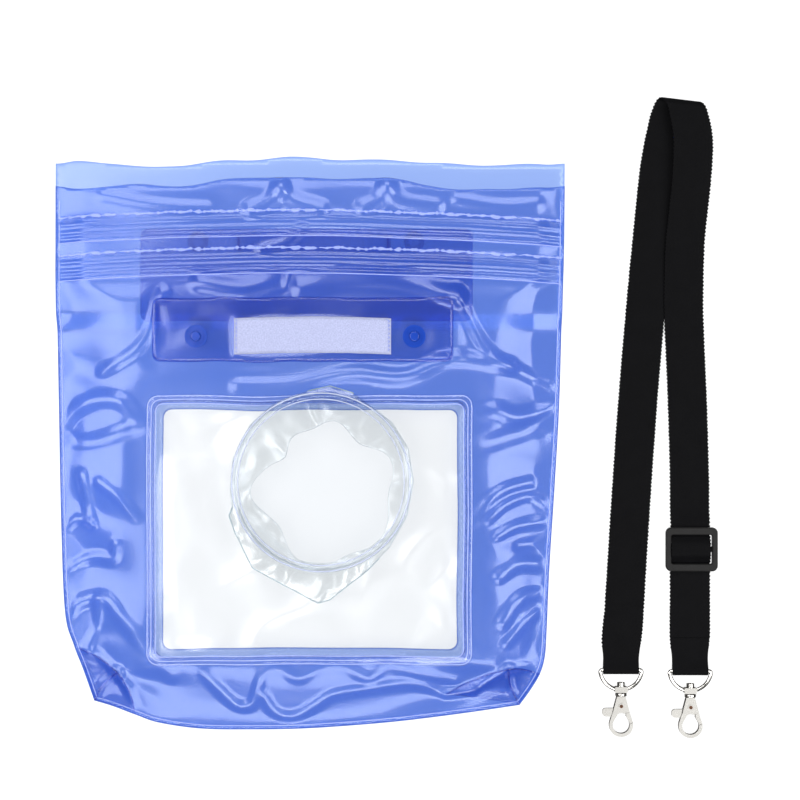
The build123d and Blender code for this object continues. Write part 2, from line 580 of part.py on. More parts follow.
for side, x, y in (("left", LEFT_X, LEFT_BAR_Y), ("right", RIGHT_X, RIGHT_BAR_Y)):
    plane = hook_plane(x, y)

    with BuildPart() as d_ring:
        with BuildSketch(Plane(origin=(x - BAR_HALF, y, BAR_Z), z_dir=(1, 0, 0))):
            Circle(WIRE)
        extrude(amount=2 * BAR_HALF)
        for hand in (1, -1):
            with BuildSketch(Plane(origin=(x + hand * BAR_HALF, y, BAR_Z), z_dir=(1, 0, 0))):
                Circle(WIRE)
            knee_axis = Axis((x + hand * BAR_HALF, y - KNEE, BAR_Z), (0, 0, -hand))
            revolve(axis=knee_axis, revolution_arc=180 - BOW_ANGLE)
            with BuildSketch(Plane(origin=(x, y - RING_DEPTH, BAR_Z), z_dir=(1, 0, 0))):
                Circle(WIRE)
            bow_axis = Axis((x, y - RING_DEPTH + BOW_RADIUS, BAR_Z), (0, 0, hand))
            revolve(axis=bow_axis, revolution_arc=BOW_ANGLE)
        with BuildSketch(plane):
            with Locations((0, (BOSS_TOP + BOSS_BOTTOM) / 2)):
                RectangleRounded(BOSS_WIDTH, BOSS_TOP - BOSS_BOTTOM, 0.8)
        extrude(amount=BOSS_THICK / 2, both=True)
        with BuildSketch(Plane(origin=(x, y + BOSS_TOP + 1, BAR_Z), z_dir=(0, -1, 0))):
            Circle(POST_RADIUS + POST_CLEARANCE)
        extrude(amount=BOSS_TOP - BOSS_BOTTOM + 2, mode=Mode.SUBTRACT)
    d_ring.part.label = f"{side}_d_ring"
    export_step(d_ring.part, f"parts/{side}_d_ring.step")

    with BuildPart() as swivel_post:
        for top, bottom, radius in (
            (BOSS_TOP + 0.1 + HEAD_HEIGHT, BOSS_TOP + 0.1, HEAD_RADIUS),
            (BOSS_TOP + 0.1, COLLAR_TOP, POST_RADIUS),
            (COLLAR_TOP, BODY_TOP, COLLAR_RADIUS),
        ):
            with BuildSketch(Plane(origin=(x, y + top, BAR_Z), z_dir=(0, -1, 0))):
                Circle(radius)
            extrude(amount=top - bottom)
        fillet(swivel_post.edges().filter_by(GeomType.CIRCLE).group_by(SortBy.RADIUS)[-1], 0.5)
    swivel_post.part.label = f"{side}_swivel_post"
    export_step(swivel_post.part, f"parts/{side}_swivel_post.step")

    with BuildPart() as hook_body:
        with BuildSketch(plane):
            with BuildLine():
                top_half, low_half = BODY_HALF
                Polyline((-top_half, BODY_TOP), (top_half, BODY_TOP), (low_half, BODY_BOTTOM),
                         (-low_half, BODY_BOTTOM), close=True)
            make_face()
        extrude(amount=BODY_THICK / 2, both=True)
        with BuildSketch(plane):
            add(eye_wall())
            add(gate_zone(GATE_TIP + GATE_CLEARANCE, EYE_END_X, BODY_BOTTOM), mode=Mode.SUBTRACT)
        extrude(amount=EYE_THICK / 2, both=True)
        with BuildSketch(plane):
            with Locations((-2.5, (SLOT_TOP + SLOT_BOTTOM) / 2)):
                Rectangle(21, SLOT_TOP - SLOT_BOTTOM)
        extrude(amount=GATE_SLOT / 2, both=True, mode=Mode.SUBTRACT)
        with BuildSketch(plane):
            with Locations((0, RIVET_Y)):
                Circle(RIVET_RADIUS)
        extrude(amount=BODY_THICK, both=True, mode=Mode.SUBTRACT)
    hook_body.part.label = f"{side}_hook_body"
    export_step(hook_body.part, f"parts/{side}_hook_body.step")

    with BuildPart() as gate_lever:
        with BuildSketch(plane):
            with Locations((0, RIVET_Y)):
                Circle(2.6)
            with Locations((-5.9, -22.4)):
                RectangleRounded(8.2, 4.4, 1.8)
            with BuildLine():
                Polyline((-2.4, -19.6), (2.5, -18.4), (4.5, -22.6), (4.9, -24.2), (3.2, -24.2), (0, -21.6),
                         (-2.4, -22.6), close=True)
            make_face()
        extrude(amount=GATE_THICK / 2, both=True)
        with BuildSketch(plane):
            add(eye_wall())
            add(gate_zone(GATE_TIP, GATE_START_X, BODY_BOTTOM - GATE_CLEARANCE), mode=Mode.INTERSECT)
        extrude(amount=EYE_THICK / 2, both=True)
        with BuildSketch(plane):
            with Locations((0, RIVET_Y)):
                Circle(RIVET_RADIUS + 0.05)
        extrude(amount=BODY_THICK, both=True, mode=Mode.SUBTRACT)
        with BuildSketch(hook_plane(x, y, GATE_THICK / 2)):
            with Locations((0, RIVET_Y)):
                Circle(2.0)
        extrude(amount=-0.7, mode=Mode.SUBTRACT)
    gate_lever.part.label = f"{side}_gate_lever"
    export_step(gate_lever.part, f"parts/{side}_gate_lever.step")

    with BuildPart() as gate_spring:
        with BuildSketch(hook_plane(x, y, GATE_THICK / 2 - 0.6)):
            with Locations((0, RIVET_Y)):
                Circle(1.85)
                Circle(RIVET_RADIUS + 0.2, mode=Mode.SUBTRACT)
        extrude(amount=0.5)
    gate_spring.part.label = f"{side}_gate_spring"
    export_step(gate_spring.part, f"parts/{side}_gate_spring.step")

    with BuildPart() as gate_rivet:
        with BuildSketch(plane):
            with Locations((0, RIVET_Y)):
                Circle(RIVET_RADIUS)
        extrude(amount=BODY_THICK / 2, both=True)
        for lift in (BODY_THICK / 2, -BODY_THICK / 2):
            with BuildSketch(hook_plane(x, y, lift)):
                with Locations((0, RIVET_Y)):
                    Circle(1.5)
            extrude(amount=0.3 if lift > 0 else -0.3)
    gate_rivet.part.label = f"{side}_gate_rivet"
    export_step(gate_rivet.part, f"parts/{side}_gate_rivet.step")
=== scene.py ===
"""Looks for the waterproof camera case and its neck strap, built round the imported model."""

import math

import bpy
import numpy as np
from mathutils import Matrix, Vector
from mathutils.geometry import delaunay_2d_cdt


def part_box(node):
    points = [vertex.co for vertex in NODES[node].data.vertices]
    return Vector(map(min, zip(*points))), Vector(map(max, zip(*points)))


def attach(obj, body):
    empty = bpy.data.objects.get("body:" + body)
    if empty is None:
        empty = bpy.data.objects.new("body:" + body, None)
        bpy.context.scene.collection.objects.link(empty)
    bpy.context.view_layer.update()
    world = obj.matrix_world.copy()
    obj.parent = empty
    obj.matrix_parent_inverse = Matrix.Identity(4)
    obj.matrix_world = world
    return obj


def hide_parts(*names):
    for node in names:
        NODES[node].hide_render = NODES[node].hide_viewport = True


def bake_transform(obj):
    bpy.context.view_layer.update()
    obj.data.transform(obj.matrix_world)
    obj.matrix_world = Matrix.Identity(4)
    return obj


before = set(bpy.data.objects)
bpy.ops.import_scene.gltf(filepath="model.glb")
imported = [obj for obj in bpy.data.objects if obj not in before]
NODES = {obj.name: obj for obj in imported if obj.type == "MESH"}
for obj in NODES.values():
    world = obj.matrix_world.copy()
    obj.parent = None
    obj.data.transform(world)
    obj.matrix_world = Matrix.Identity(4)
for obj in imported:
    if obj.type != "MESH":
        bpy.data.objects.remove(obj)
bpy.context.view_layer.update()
MM = 0.001
SIDES = ("left", "right")


def box_mm(name):
    """Lowest and highest corner of a CAD node, in millimetres."""
    low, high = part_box(name)
    return np.array(low) / MM, np.array(high) / MM


def middle_mm(name):
    """Middle of a CAD node's box, in millimetres."""
    low, high = box_mm(name)
    return (low + high) / 2


# ---- sizes read from the frame (mm)

LIP_LOW, LIP_HIGH = box_mm("back_lip")
WINDOW_LOW, WINDOW_HIGH = box_mm("front_window")
REAR_LOW, REAR_HIGH = box_mm("rear_window")
PATCH_LOW, PATCH_HIGH = box_mm("closure_patch")
TAB_LOW, TAB_HIGH = box_mm("closure_tab")
HOOK_LOW, HOOK_HIGH = box_mm("hook_strip")
RING_LOW, RING_HIGH = box_mm("lens_ring")

LEFT = LIP_LOW[0]
RIGHT = LIP_HIGH[0]
MOUTH_BACK = LIP_HIGH[1]
MOUTH_FRONT = box_mm("front_lip")[1][1]
FOLD_Y = (box_mm("back_panel")[1][1] + LIP_LOW[1]) / 2
FLAP_TOP = box_mm("front_lip")[1][2]
CROWN = box_mm("front_panel")[1][2]
RAISED = LIP_LOW[2]  # the back sheet's underside where it lies on the closure tab
PORT_X, PORT_Y = middle_mm("lens_ring")[:2]
PORT_R = (RING_HIGH[0] - RING_LOW[0]) / 2

# ---- sizes chosen here (mm)

FILM = 0.45  # thickness of the blue film
WINDOW_FILM = 0.35
SEAM = 2.2  # width of the side and bottom welds
WELD_BAND = 5.0  # width of the weld round a window
WINDOW_CORNER = 6  # radius of a window sheet's corners
PATCH_CORNER = 4

# ---- noise and outlines


def noise(x, y, cell, seed):
    """Smooth random field between about -1 and 1, with lumps of about this cell size."""
    rng = np.random.default_rng(seed)
    size = 64
    angle = rng.random((size, size)) * 2 * math.pi
    gx, gy = np.cos(angle), np.sin(angle)
    u, v = np.asarray(x, float) / cell + 17.3, np.asarray(y, float) / cell + 31.7
    i, j = np.floor(u).astype(int), np.floor(v).astype(int)
    fu, fv = u - i, v - j
    su, sv = (f ** 3 * (f * (f * 6 - 15) + 10) for f in (fu, fv))

    def corner(di, dj):
        a, b = (i + di) % size, (j + dj) % size
        return gx[a, b] * (fu - di) + gy[a, b] * (fv - dj)

    near = corner(0, 0) * (1 - su) + corner(1, 0) * su
    far = corner(0, 1) * (1 - su) + corner(1, 1) * su
    return (near * (1 - sv) + far * sv) * 1.5


def warped(x, y, cell, seed, reach=0.5):
    """Noise whose lumps are stretched and bent, as creases in film are."""
    dx = noise(x, y, cell * 1.7, seed + 1) * cell * reach
    dy = noise(x, y, cell * 1.7, seed + 2) * cell * reach
    return noise(x + dx, y + dy, cell, seed)


def crease(x, y, cell, seed):
    """Sharp ridges between smooth facets: 1 on a ridge, 0 away from it."""
    return np.clip(1 - np.abs(warped(x, y, cell, seed, 0.4)) * 3, 0, 1) ** 1.6


def smooth(value, low, high):
    """0 below low, 1 above high, smooth between."""
    t = np.clip((value - low) / (high - low), 0, 1)
    return t * t * (3 - 2 * t)


def bump(value, width):
    """A rounded ridge: 1 at 0, falling to 0 at plus and minus width."""
    return np.clip(1 - (np.asarray(value) / width) ** 2, 0, 1) ** 2


def spline(points, count):
    """Points along a smooth open curve through these points, evenly spread."""
    p = np.array(points, float)
    p = np.vstack([2 * p[0] - p[1], p, 2 * p[-1] - p[-2]])
    out = []
    for k in range(1, len(p) - 2):
        t = np.linspace(0, 1, 24, endpoint=False)[:, None]
        a, b, c, d = p[k - 1], p[k], p[k + 1], p[k + 2]
        square = 2 * a - 5 * b + 4 * c - d
        cube = 3 * b - a - 3 * c + d
        out.append(0.5 * (2 * b + (c - a) * t + square * t ** 2 + cube * t ** 3))
    dense = np.vstack([*out, p[-2][None]])
    return respaced(dense, count)


def respaced(points, count):
    """The same line with count evenly spaced points."""
    steps = np.r_[0, np.cumsum(np.linalg.norm(np.diff(points, axis=0), axis=1))]
    at = np.linspace(0, steps[-1], count)
    return np.stack([np.interp(at, steps, points[:, k]) for k in range(points.shape[1])], 1)


def line_length(points):
    """Length of a line of points."""
    return float(np.linalg.norm(np.diff(points, axis=0), axis=1).sum())


def rounded_box(low, high, radius, spacing=1.6):
    """A rectangle with rounded corners as a closed loop of points, anticlockwise."""
    x0, y0 = low[:2] + radius
    x1, y1 = high[:2] - radius
    loop = []
    for cx, cy, start in ((x1, y1, 0), (x0, y1, 90), (x0, y0, 180), (x1, y0, 270)):
        for k in range(7):
            a = math.radians(start + 15 * k)
            loop.append((cx + radius * math.cos(a), cy + radius * math.sin(a)))
    return even_loop(np.array(loop), spacing)


def even_loop(loop, spacing):
    """The closed loop again, with evenly spaced points."""
    closed = np.vstack([loop, loop[:1]])
    return respaced(closed, max(8, int(line_length(closed) / spacing)) + 1)[:-1]


def circle(cx, cy, radius, spacing=1.6):
    """A circle as a closed loop of points, anticlockwise."""
    a = np.linspace(0, 2 * math.pi, int(2 * math.pi * radius / spacing), endpoint=False)
    return np.stack([cx + radius * np.cos(a), cy + radius * np.sin(a)], 1)


def inside(x, y, loop):
    """True where a point is inside a closed loop."""
    hit = np.zeros(np.shape(x), bool)
    ax, ay = loop[:, 0], loop[:, 1]
    bx, by = np.roll(ax, -1), np.roll(ay, -1)
    for k in range(len(loop)):
        crosses = (ay[k] > y) != (by[k] > y)
        slope = (bx[k] - ax[k]) / (by[k] - ay[k] if by[k] != ay[k] else 1e-12)
        hit ^= crosses & (x < slope * (y - ay[k]) + ax[k])
    return hit


def distance_to(x, y, loop, closed=True):
    """Distance from each point to a polyline."""
    ends = np.roll(loop, -1, 0) if closed else loop[1:]
    starts = loop if closed else loop[:-1]
    best = np.full(np.shape(x), 1e9)
    for (ax, ay), (bx, by) in zip(starts, ends):
        dx, dy = bx - ax, by - ay
        t = np.clip(((x - ax) * dx + (y - ay) * dy) / max(dx * dx + dy * dy, 1e-12), 0, 1)
        best = np.minimum(best, np.hypot(x - ax - t * dx, y - ay - t * dy))
    return best


def box_distance(x, y, low, high, radius):
    """Signed distance to a rounded rectangle: negative inside."""
    cx, cy = (low[0] + high[0]) / 2, (low[1] + high[1]) / 2
    dx = np.abs(x - cx) - (high[0] - low[0]) / 2 + radius
    dy = np.abs(y - cy) - (high[1] - low[1]) / 2 + radius
    outside = np.hypot(np.maximum(dx, 0), np.maximum(dy, 0))
    return outside + np.minimum(np.maximum(dx, dy), 0) - radius


# ---- the case's outline

LEFT_EAR = (-155.6, -150.6)  # tip of a boxed corner
RIGHT_EAR = (70.7, -153)
LEFT_APEX = (-142.7, -135.3)  # where a boxed corner's folds meet
RIGHT_APEX = (64.3, -133.2)

# Sides and bottom as (x, y), from the mouth's left corner round to its right one.
LEFT_EDGE = [(LEFT, FOLD_Y), (LEFT + 1.0, 10), (LEFT + 2.4, -60), (LEFT + 4.4, -104),
             (-166.5, -121), (-161.5, -134), LEFT_EAR]
BOTTOM_EDGE = [LEFT_EAR, (-146, -153.5), (-134, -158), (-121, -162.4), (-98, -165.6), (-70, -166),
               (-46, -165.6), (-20, -164), (8, -161.5), (40, -157.5), RIGHT_EAR]
RIGHT_EDGE = [RIGHT_EAR, (76.5, -145), (81.5, -136.5), (84.2, -127), (85.2, -112), (86.6, -80),
              (89.6, -33), (91.9, 9), (93.5, FOLD_Y)]


def case_loop(mouth):
    """The whole sheet's outline, with its mouth edge at this Y, as a list of (x, y)."""
    halfway = (mouth + FOLD_Y) / 2
    left = spline([(LEFT, mouth), (LEFT, halfway)] + LEFT_EDGE, 220)
    bottom = spline(BOTTOM_EDGE, 170)[1:]
    right = spline(RIGHT_EDGE + [(94.0, halfway - 10), (RIGHT, mouth)], 220)[1:]
    top = np.array([(x, mouth) for x in np.linspace(RIGHT, LEFT, 170)[1:-1]])
    return np.vstack([left, bottom, right, top])


CASE = case_loop(MOUTH_BACK)

# ---- materials

BROAD = 1.55  # how much rougher the broad half of a film's gloss is
HEAD_ON = 0.043  # share of light mirrored by film seen head-on
EDGE_ON = 0.9
STEEPNESS = 5.0  # power of the rise between them


def new_material(name):
    """An empty material and its node tree."""
    material = bpy.data.materials.new(name)
    material.use_nodes = True
    material.node_tree.nodes.clear()
    return material, material.node_tree


def show(tree, surface):
    """Give the material this surface."""
    out = tree.nodes.new("ShaderNodeOutputMaterial")
    tree.links.new(surface.outputs[0], out.inputs["Surface"])


def node(tree, kind, **values):
    """A new shader node. A value goes to the input or the setting of its name.

    A value of (node, output) is linked. Spaces in an input's name are written as underscores.
    """
    made = tree.nodes.new(kind)
    for key, value in values.items():
        name = key.replace("_", " ")
        if name not in made.inputs:
            setattr(made, key, value)
        elif isinstance(value, tuple) and isinstance(value[0], bpy.types.Node):
            tree.links.new(value[0].outputs[value[1]], made.inputs[name])
        else:
            made.inputs[name].default_value = value
    return made


def mixed(tree, share, under, over):
    """Two shaders mixed. share is how much of over shows: a number, or (node, output)."""
    mix = node(tree, "ShaderNodeMixShader", Fac=share)
    tree.links.new(under.outputs[0], mix.inputs[1])
    tree.links.new(over.outputs[0], mix.inputs[2])
    return mix


def noise_bump(tree, place, scale, strength, distance, detail, **values):
    """The bumped normal of a fine unevenness, as (node, output)."""
    grain = node(tree, "ShaderNodeTexNoise", Scale=scale, Detail=detail, Vector=place, **values)
    bumps = node(tree, "ShaderNodeBump", Strength=strength, Distance=distance, Height=(grain, "Fac"))
    return bumps, "Normal"


def clear_film(name, tint, edge_tint, roughness, grain=(180.0, 0.10, 0.0004), shine=1.0):
    """Film that tints what is behind it and mirrors the lamps. tint is for one face of two.

    grain is the scale, strength and depth of its bump.
    """
    material, tree = new_material(name)
    place = (node(tree, "ShaderNodeTexCoord"), "Object")
    normal = noise_bump(tree, place, *grain, 3.0, Roughness=0.55)
    facing = node(tree, "ShaderNodeLayerWeight", Blend=0.5, Normal=normal)
    colour = node(tree, "ShaderNodeMix", data_type="RGBA", A=(*tint, 1), B=(*edge_tint, 1),
                  Factor=(facing, "Facing"))
    through = node(tree, "ShaderNodeBsdfTransparent", Color=(colour, "Result"))
    # Half of the gloss is tight and half is broad, so a lamp's image fades at its edges.
    tight = node(tree, "ShaderNodeBsdfGlossy", Roughness=roughness, Normal=normal)
    broad = node(tree, "ShaderNodeBsdfGlossy", Roughness=roughness * BROAD, Normal=normal)
    gloss = mixed(tree, 0.5, tight, broad)
    # Reflection rises from 4% head-on to most of it edge-on, the same on both sides of the face.
    steep = node(tree, "ShaderNodeMath", operation="POWER")
    steep.inputs[1].default_value = STEEPNESS
    tree.links.new(facing.outputs["Facing"], steep.inputs[0])
    share = node(tree, "ShaderNodeMapRange", Value=(steep, "Value"), To_Min=HEAD_ON * shine, To_Max=EDGE_ON)
    show(tree, mixed(tree, (share, "Result"), through, gloss))
    return material


def principled(name, colour, roughness, metallic=0.0, specular=0.5, bump=None, vary=None,
               clear=None, rim=None):
    """A solid material with fine bump and a slow change of tone.

    bump is (scale, strength, depth). vary is (scale, change of roughness, change of tone).
    clear is (share, tint) let through. rim is (start, end, colour) of a painted dark reflection on slanting
    faces, standing in for a dark room mirrored there.
    """
    material, tree = new_material(name)
    place = (node(tree, "ShaderNodeTexCoord"), "Object")
    values = {"Base_Color": (*colour, 1), "Roughness": roughness}
    if vary:
        scale, amount, *tones = vary
        spread = tones[0] if tones else 0.2
        slow = (node(tree, "ShaderNodeTexNoise", Scale=scale, Detail=4.0, Vector=place), "Fac")
        ramp = node(tree, "ShaderNodeMapRange", To_Min=roughness - amount, To_Max=roughness + amount,
                    Value=slow)
        dark = [c * (1 - spread) for c in colour]
        light = [min(1, c * (1 + spread)) for c in colour]
        tone = node(tree, "ShaderNodeMix", data_type="RGBA", A=(*dark, 1), B=(*light, 1), Factor=slow)
        values = {"Base_Color": (tone, "Result"), "Roughness": (ramp, "Result")}
    if bump:
        values["Normal"] = noise_bump(tree, place, *bump, 5.0)
    surface = node(tree, "ShaderNodeBsdfPrincipled", Metallic=metallic, Specular_IOR_Level=specular, **values)
    if rim:
        # Painted dark reflection: faces that slant away from the camera show this fixed dark gloss in place
        # of what they mirror.
        start, end, dark = rim
        facing = node(tree, "ShaderNodeLayerWeight", Blend=0.5)
        painted_dark_share = node(tree, "ShaderNodeMapRange", interpolation_type="SMOOTHSTEP", From_Min=start,
                      From_Max=end, Value=(facing, "Facing"))
        gloss = node(tree, "ShaderNodeBsdfGlossy", Roughness=roughness, Color=(*dark, 1))
        surface = mixed(tree, (painted_dark_share, "Result"), surface, gloss)
    if clear:
        share, tint = clear
        through = node(tree, "ShaderNodeBsdfTransparent", Color=(*tint, 1))
        surface = mixed(tree, share, surface, through)
    show(tree, surface)
    return material


BLUE = clear_film("blue_film", (0.595, 0.700, 0.915), (0.42, 0.54, 0.86), 0.19)
BLUE_MID = clear_film("blue_film_mid", (0.72, 0.80, 0.94), (0.5, 0.62, 0.9), 0.19, shine=0.6)
BLUE_PALE = clear_film("blue_film_pale", (0.94, 0.96, 0.985), (0.70, 0.80, 0.96), 0.16, shine=0.2)
CLEAR = clear_film("clear_film", (0.957, 0.961, 0.966), (0.87, 0.90, 0.92), 0.20)
SLEEVE = clear_film("sleeve_film", (0.975, 0.98, 0.98), (0.74, 0.79, 0.83), 0.17)
PORT = clear_film("port_clear", (0.98, 0.985, 0.99), (0.86, 0.89, 0.94), 0.08, (90.0, 0.03, 0.0003))
# Sleeve fold lines: dark grey-teal, painted shade where the folded clear film turns edge-on.
FOLD_SHADE_LINE = principled("sleeve_fold_painted_shade", (0.30, 0.38, 0.41), 0.2, specular=0.6, vary=(300.0, 0.05),
                       clear=(0.45, (0.85, 0.9, 0.92)))
# Port rim lines: dark blue-grey, painted shade on the clear ring's edges.
RIM_SHADE_LINE = principled("port_rim", (0.42, 0.46, 0.60), 0.15, specular=0.8, vary=(300.0, 0.05),
                      clear=(0.4, (0.86, 0.88, 0.95)))
# Weld beads: real ridges of welded film, coloured light lavender as a painted highlight along them.
WELD_PAINTED_HIGHLIGHT = principled("blue_weld_painted_highlight", (0.42, 0.50, 0.95), 0.22, specular=0.6, bump=(1200.0, 0.3, 0.0003),
                  vary=(400.0, 0.08), clear=(0.58, (0.7, 0.78, 0.96)))
SNAP = principled("snap_blue", (0.003, 0.032, 0.27), 0.22, specular=0.5, bump=(900.0, 0.05, 0.0002),
                  vary=(160.0, 0.06), clear=(0.05, (0.35, 0.55, 0.96)))
SOCKET = principled("socket_blue", (0.02, 0.08, 0.45), 0.3, specular=0.3, vary=(160.0, 0.06),
                    clear=(0.93, (0.93, 0.95, 0.985)))
WEBBING = principled("webbing_black", (0.0024, 0.0024, 0.0028), 0.5, specular=0.025,
                     bump=(2600.0, 0.3, 0.0003), vary=(120.0, 0.07))
SLIDER = principled("slider_black", (0.009, 0.0088, 0.0088), 0.45, specular=0.12,
                    bump=(2200.0, 0.25, 0.0002), vary=(180.0, 0.06))
# Nickel, with a painted dark reflection on its slanting faces that stands in for a dark room mirrored in the
# plating.
NICKEL = principled("nickel", (0.66, 0.645, 0.61), 0.14, metallic=1.0, bump=(700.0, 0.10, 0.0002),
                    vary=(240.0, 0.04, 0.08), rim=(0.10, 0.30, (0.075, 0.07, 0.065)))
# A near-black metal for the rivet's dimple: painted shade in its hollow.
RIVET_EYE_SHADE = principled("rivet_eye_painted_shade", (0.085, 0.045, 0.03), 0.3, metallic=1.0, bump=(900.0, 0.1, 0.0002),
                    vary=(300.0, 0.05))
STEEL = principled("spring_steel", (0.6, 0.6, 0.6), 0.3, metallic=1.0, vary=(300.0, 0.05))
HOOKS = principled("hook_fabric", (0.265, 0.285, 0.42), 0.75, specular=0.25, bump=(1800.0, 0.5, 0.0004),
                   vary=(1500.0, 0.08, 0.4))
THREAD = principled("stitch_thread", (0.13, 0.17, 0.46), 0.6, specular=0.3, vary=(900.0, 0.05))
LOOPS = principled("loop_fabric", (0.06, 0.12, 0.55), 0.8, specular=0.1, bump=(1500.0, 0.5, 0.0004),
                   vary=(300.0, 0.08), clear=(0.93, (0.93, 0.95, 0.985)))

# ---- mesh helpers


def finish_piece(name, verts_mm, faces, material):
    """A visible piece made from points in millimetres."""
    mesh = bpy.data.meshes.new(name)
    mesh.from_pydata((np.asarray(verts_mm) * MM).tolist(), [], faces)
    mesh.update()
    mesh.polygons.foreach_set("use_smooth", [True] * len(mesh.polygons))
    obj = bpy.data.objects.new(name, mesh)
    bpy.context.scene.collection.objects.link(obj)
    mesh.materials.append(material)
    return obj


def thicken(obj, thick):
    """Gives a surface its thickness, half on each side."""
    solid = obj.modifiers.new("Thickness", "SOLIDIFY")
    solid.thickness = thick * MM
    solid.offset = 0.0
    solid.use_even_offset = False
    return obj


def sheet_mesh(name, loop, holes, spacing, height, material, thick=FILM, fine=None):
    """A film sheet: a closed outline with holes, filled with even triangles, raised by height(x, y).

    fine is (inside test, points) for a region that gets these points in place of the even ones.
    """
    low, high = loop.min(0), loop.max(0)
    xs = np.arange(low[0], high[0], spacing)
    ys = np.arange(low[1], high[1], spacing * 0.866)
    gx, gy = np.meshgrid(xs, ys)
    gx = gx + (np.arange(len(ys)) % 2)[:, None] * spacing / 2
    gx, gy = gx.ravel(), gy.ravel()
    keep = inside(gx, gy, loop)
    gx, gy = gx[keep], gy[keep]
    if fine:
        region, extra = fine
        coarse = ~region(gx, gy)
        gx, gy = np.r_[gx[coarse], extra[:, 0]], np.r_[gy[coarse], extra[:, 1]]
    far = distance_to(gx, gy, loop) > spacing * 0.6
    for hole in holes:
        far &= ~inside(gx, gy, hole) & (distance_to(gx, gy, hole) > spacing * 0.6)
    points = []
    edges = []
    for ring in (loop, *holes):
        first = len(points)
        points += [tuple(p) for p in ring]
        edges += [(first + k, first + (k + 1) % len(ring)) for k in range(len(ring))]
    points += list(zip(gx[far], gy[far]))
    flat, _, faces, *_ = delaunay_2d_cdt([Vector(p) for p in points], edges, [], 1, 1e-5)
    xy = np.array([tuple(v) for v in flat])
    centres = np.array([xy[list(f)].mean(0) for f in faces])
    keep = np.ones(len(faces), bool)
    for hole in holes:
        keep &= ~inside(centres[:, 0], centres[:, 1], hole)
    faces = [f for f, k in zip(faces, keep) if k]
    z = height(xy[:, 0], xy[:, 1])
    obj = finish_piece(name, np.column_stack([xy, z]), faces, material)
    return thicken(obj, thick)


def grid_mesh(name, rows, material, closed=False, caps=(False, False)):
    """Quads through rows of points, all of one length.

    closed joins the last point of a row to its first. caps closes the first and the last row.
    """
    rows = np.asarray(rows, float)
    count, width = rows.shape[:2]
    faces = []
    for r in range(count - 1):
        for c in range(width if closed else width - 1):
            d = (c + 1) % width
            faces.append((r * width + c, r * width + d, (r + 1) * width + d, (r + 1) * width + c))
    if caps[0]:
        faces.append(tuple(range(width))[::-1])
    if caps[1]:
        faces.append(tuple(range((count - 1) * width, count * width)))
    return finish_piece(name, rows.reshape(-1, 3), faces, material)


# ---- camera, lights, floor

VIEW_MIDDLE = (7.1, 9.3)
VIEW_WIDE = 423.5  # what the picture's width shows, at SHARP_HEIGHT (mm)
SHARP_HEIGHT = 6
LENS = 85.0
SENSOR = 36
FLOOR_DROP = 0.0004  # gap under the part, so that its lowest faces stay clear of the floor (m)
FLOOR_HALF = 6.0  # half the floor's width (m)

# name, place (m), aimed at (m), width, height (m), power (W)
LAMPS = [
    ("softbox_left", (-1.06, 0.12, 1.45), (0, 0, 0), 0.95, 1.5, 29),
    ("softbox_right", (1.15, -0.10, 1.40), (0, 0, 0), 0.9, 1.2, 24),
    ("softbox_top", (-0.05, 1.20, 1.45), (0, 0, 0), 1.5, 0.8, 21),
    ("softbox_low", (-0.10, -1.10, 1.40), (0, 0, 0), 1.4, 0.75, 22),
    ("panel_over_hooks", (0.33, -0.40, 1.45), (0.15, -0.16, 0), 0.34, 0.24, 0.28),
]


def make_camera():
    """A camera that looks straight down on the whole set."""
    camera = bpy.data.objects.new("camera", bpy.data.cameras.new("camera"))
    bpy.context.scene.collection.objects.link(camera)
    camera.data.lens = LENS
    x, y = VIEW_MIDDLE
    camera.location = (x * MM, y * MM, (VIEW_WIDE * LENS / SENSOR + SHARP_HEIGHT) * MM)
    camera.data.clip_end = 10
    bpy.context.scene.camera = camera


def make_floor():
    """A white floor that glows a little, so that it stays white between the shadows."""
    mesh = bpy.data.meshes.new("floor")
    corners = [(-1, -1), (1, -1), (1, 1), (-1, 1)]
    mesh.from_pydata([(x * FLOOR_HALF, y * FLOOR_HALF, -FLOOR_DROP) for x, y in corners], [], [(0, 1, 2, 3)])
    floor = bpy.data.objects.new("floor", mesh)
    bpy.context.scene.collection.objects.link(floor)
    material, tree = new_material("floor_white")
    diffuse = node(tree, "ShaderNodeBsdfDiffuse", Color=(0.24, 0.24, 0.24, 1))
    glow = node(tree, "ShaderNodeEmission", Color=(1, 1, 1, 1), Strength=0.80)
    both = node(tree, "ShaderNodeAddShader")
    tree.links.new(diffuse.outputs[0], both.inputs[0])
    tree.links.new(glow.outputs[0], both.inputs[1])
    show(tree, both)
    mesh.materials.append(material)


def make_lights():
    """A dim white room with the lamps in it."""
    scene = bpy.context.scene
    world = bpy.data.worlds.new("studio")
    scene.world = world
    world.use_nodes = True
    sky = world.node_tree.nodes["Background"].inputs
    sky["Color"].default_value = (1, 1, 1, 1)
    sky["Strength"].default_value = 0.15
    for name, place, aim, wide, tall, power in LAMPS:
        lamp = bpy.data.lights.new(name, "AREA")
        lamp.shape = "RECTANGLE"
        lamp.size = wide
        lamp.size_y = tall
        lamp.energy = power
        obj = bpy.data.objects.new(name, lamp)
        obj.location = place
        obj.rotation_euler = (Vector(aim) - Vector(place)).to_track_quat("-Z", "Y").to_euler()
        scene.collection.objects.link(obj)
    scene.view_settings.view_transform = "Standard"
    scene.cycles.transparent_max_bounces = 48
    scene.cycles.max_bounces = 10


make_camera()
make_floor()
make_lights()

# ---- film heights (mm)

TRACKS = ("upper", "lower")
TRACK_BOW = 5.0
TRACK_HALF_HEIGHT = 6.3
TRACK_FALL = 0.9  # lean of a track: its right end is this much lower, its left end higher
SIDE_SLOPE = 37  # how far in from the sides the film reaches its full height
FLAP_SLOPE = 16


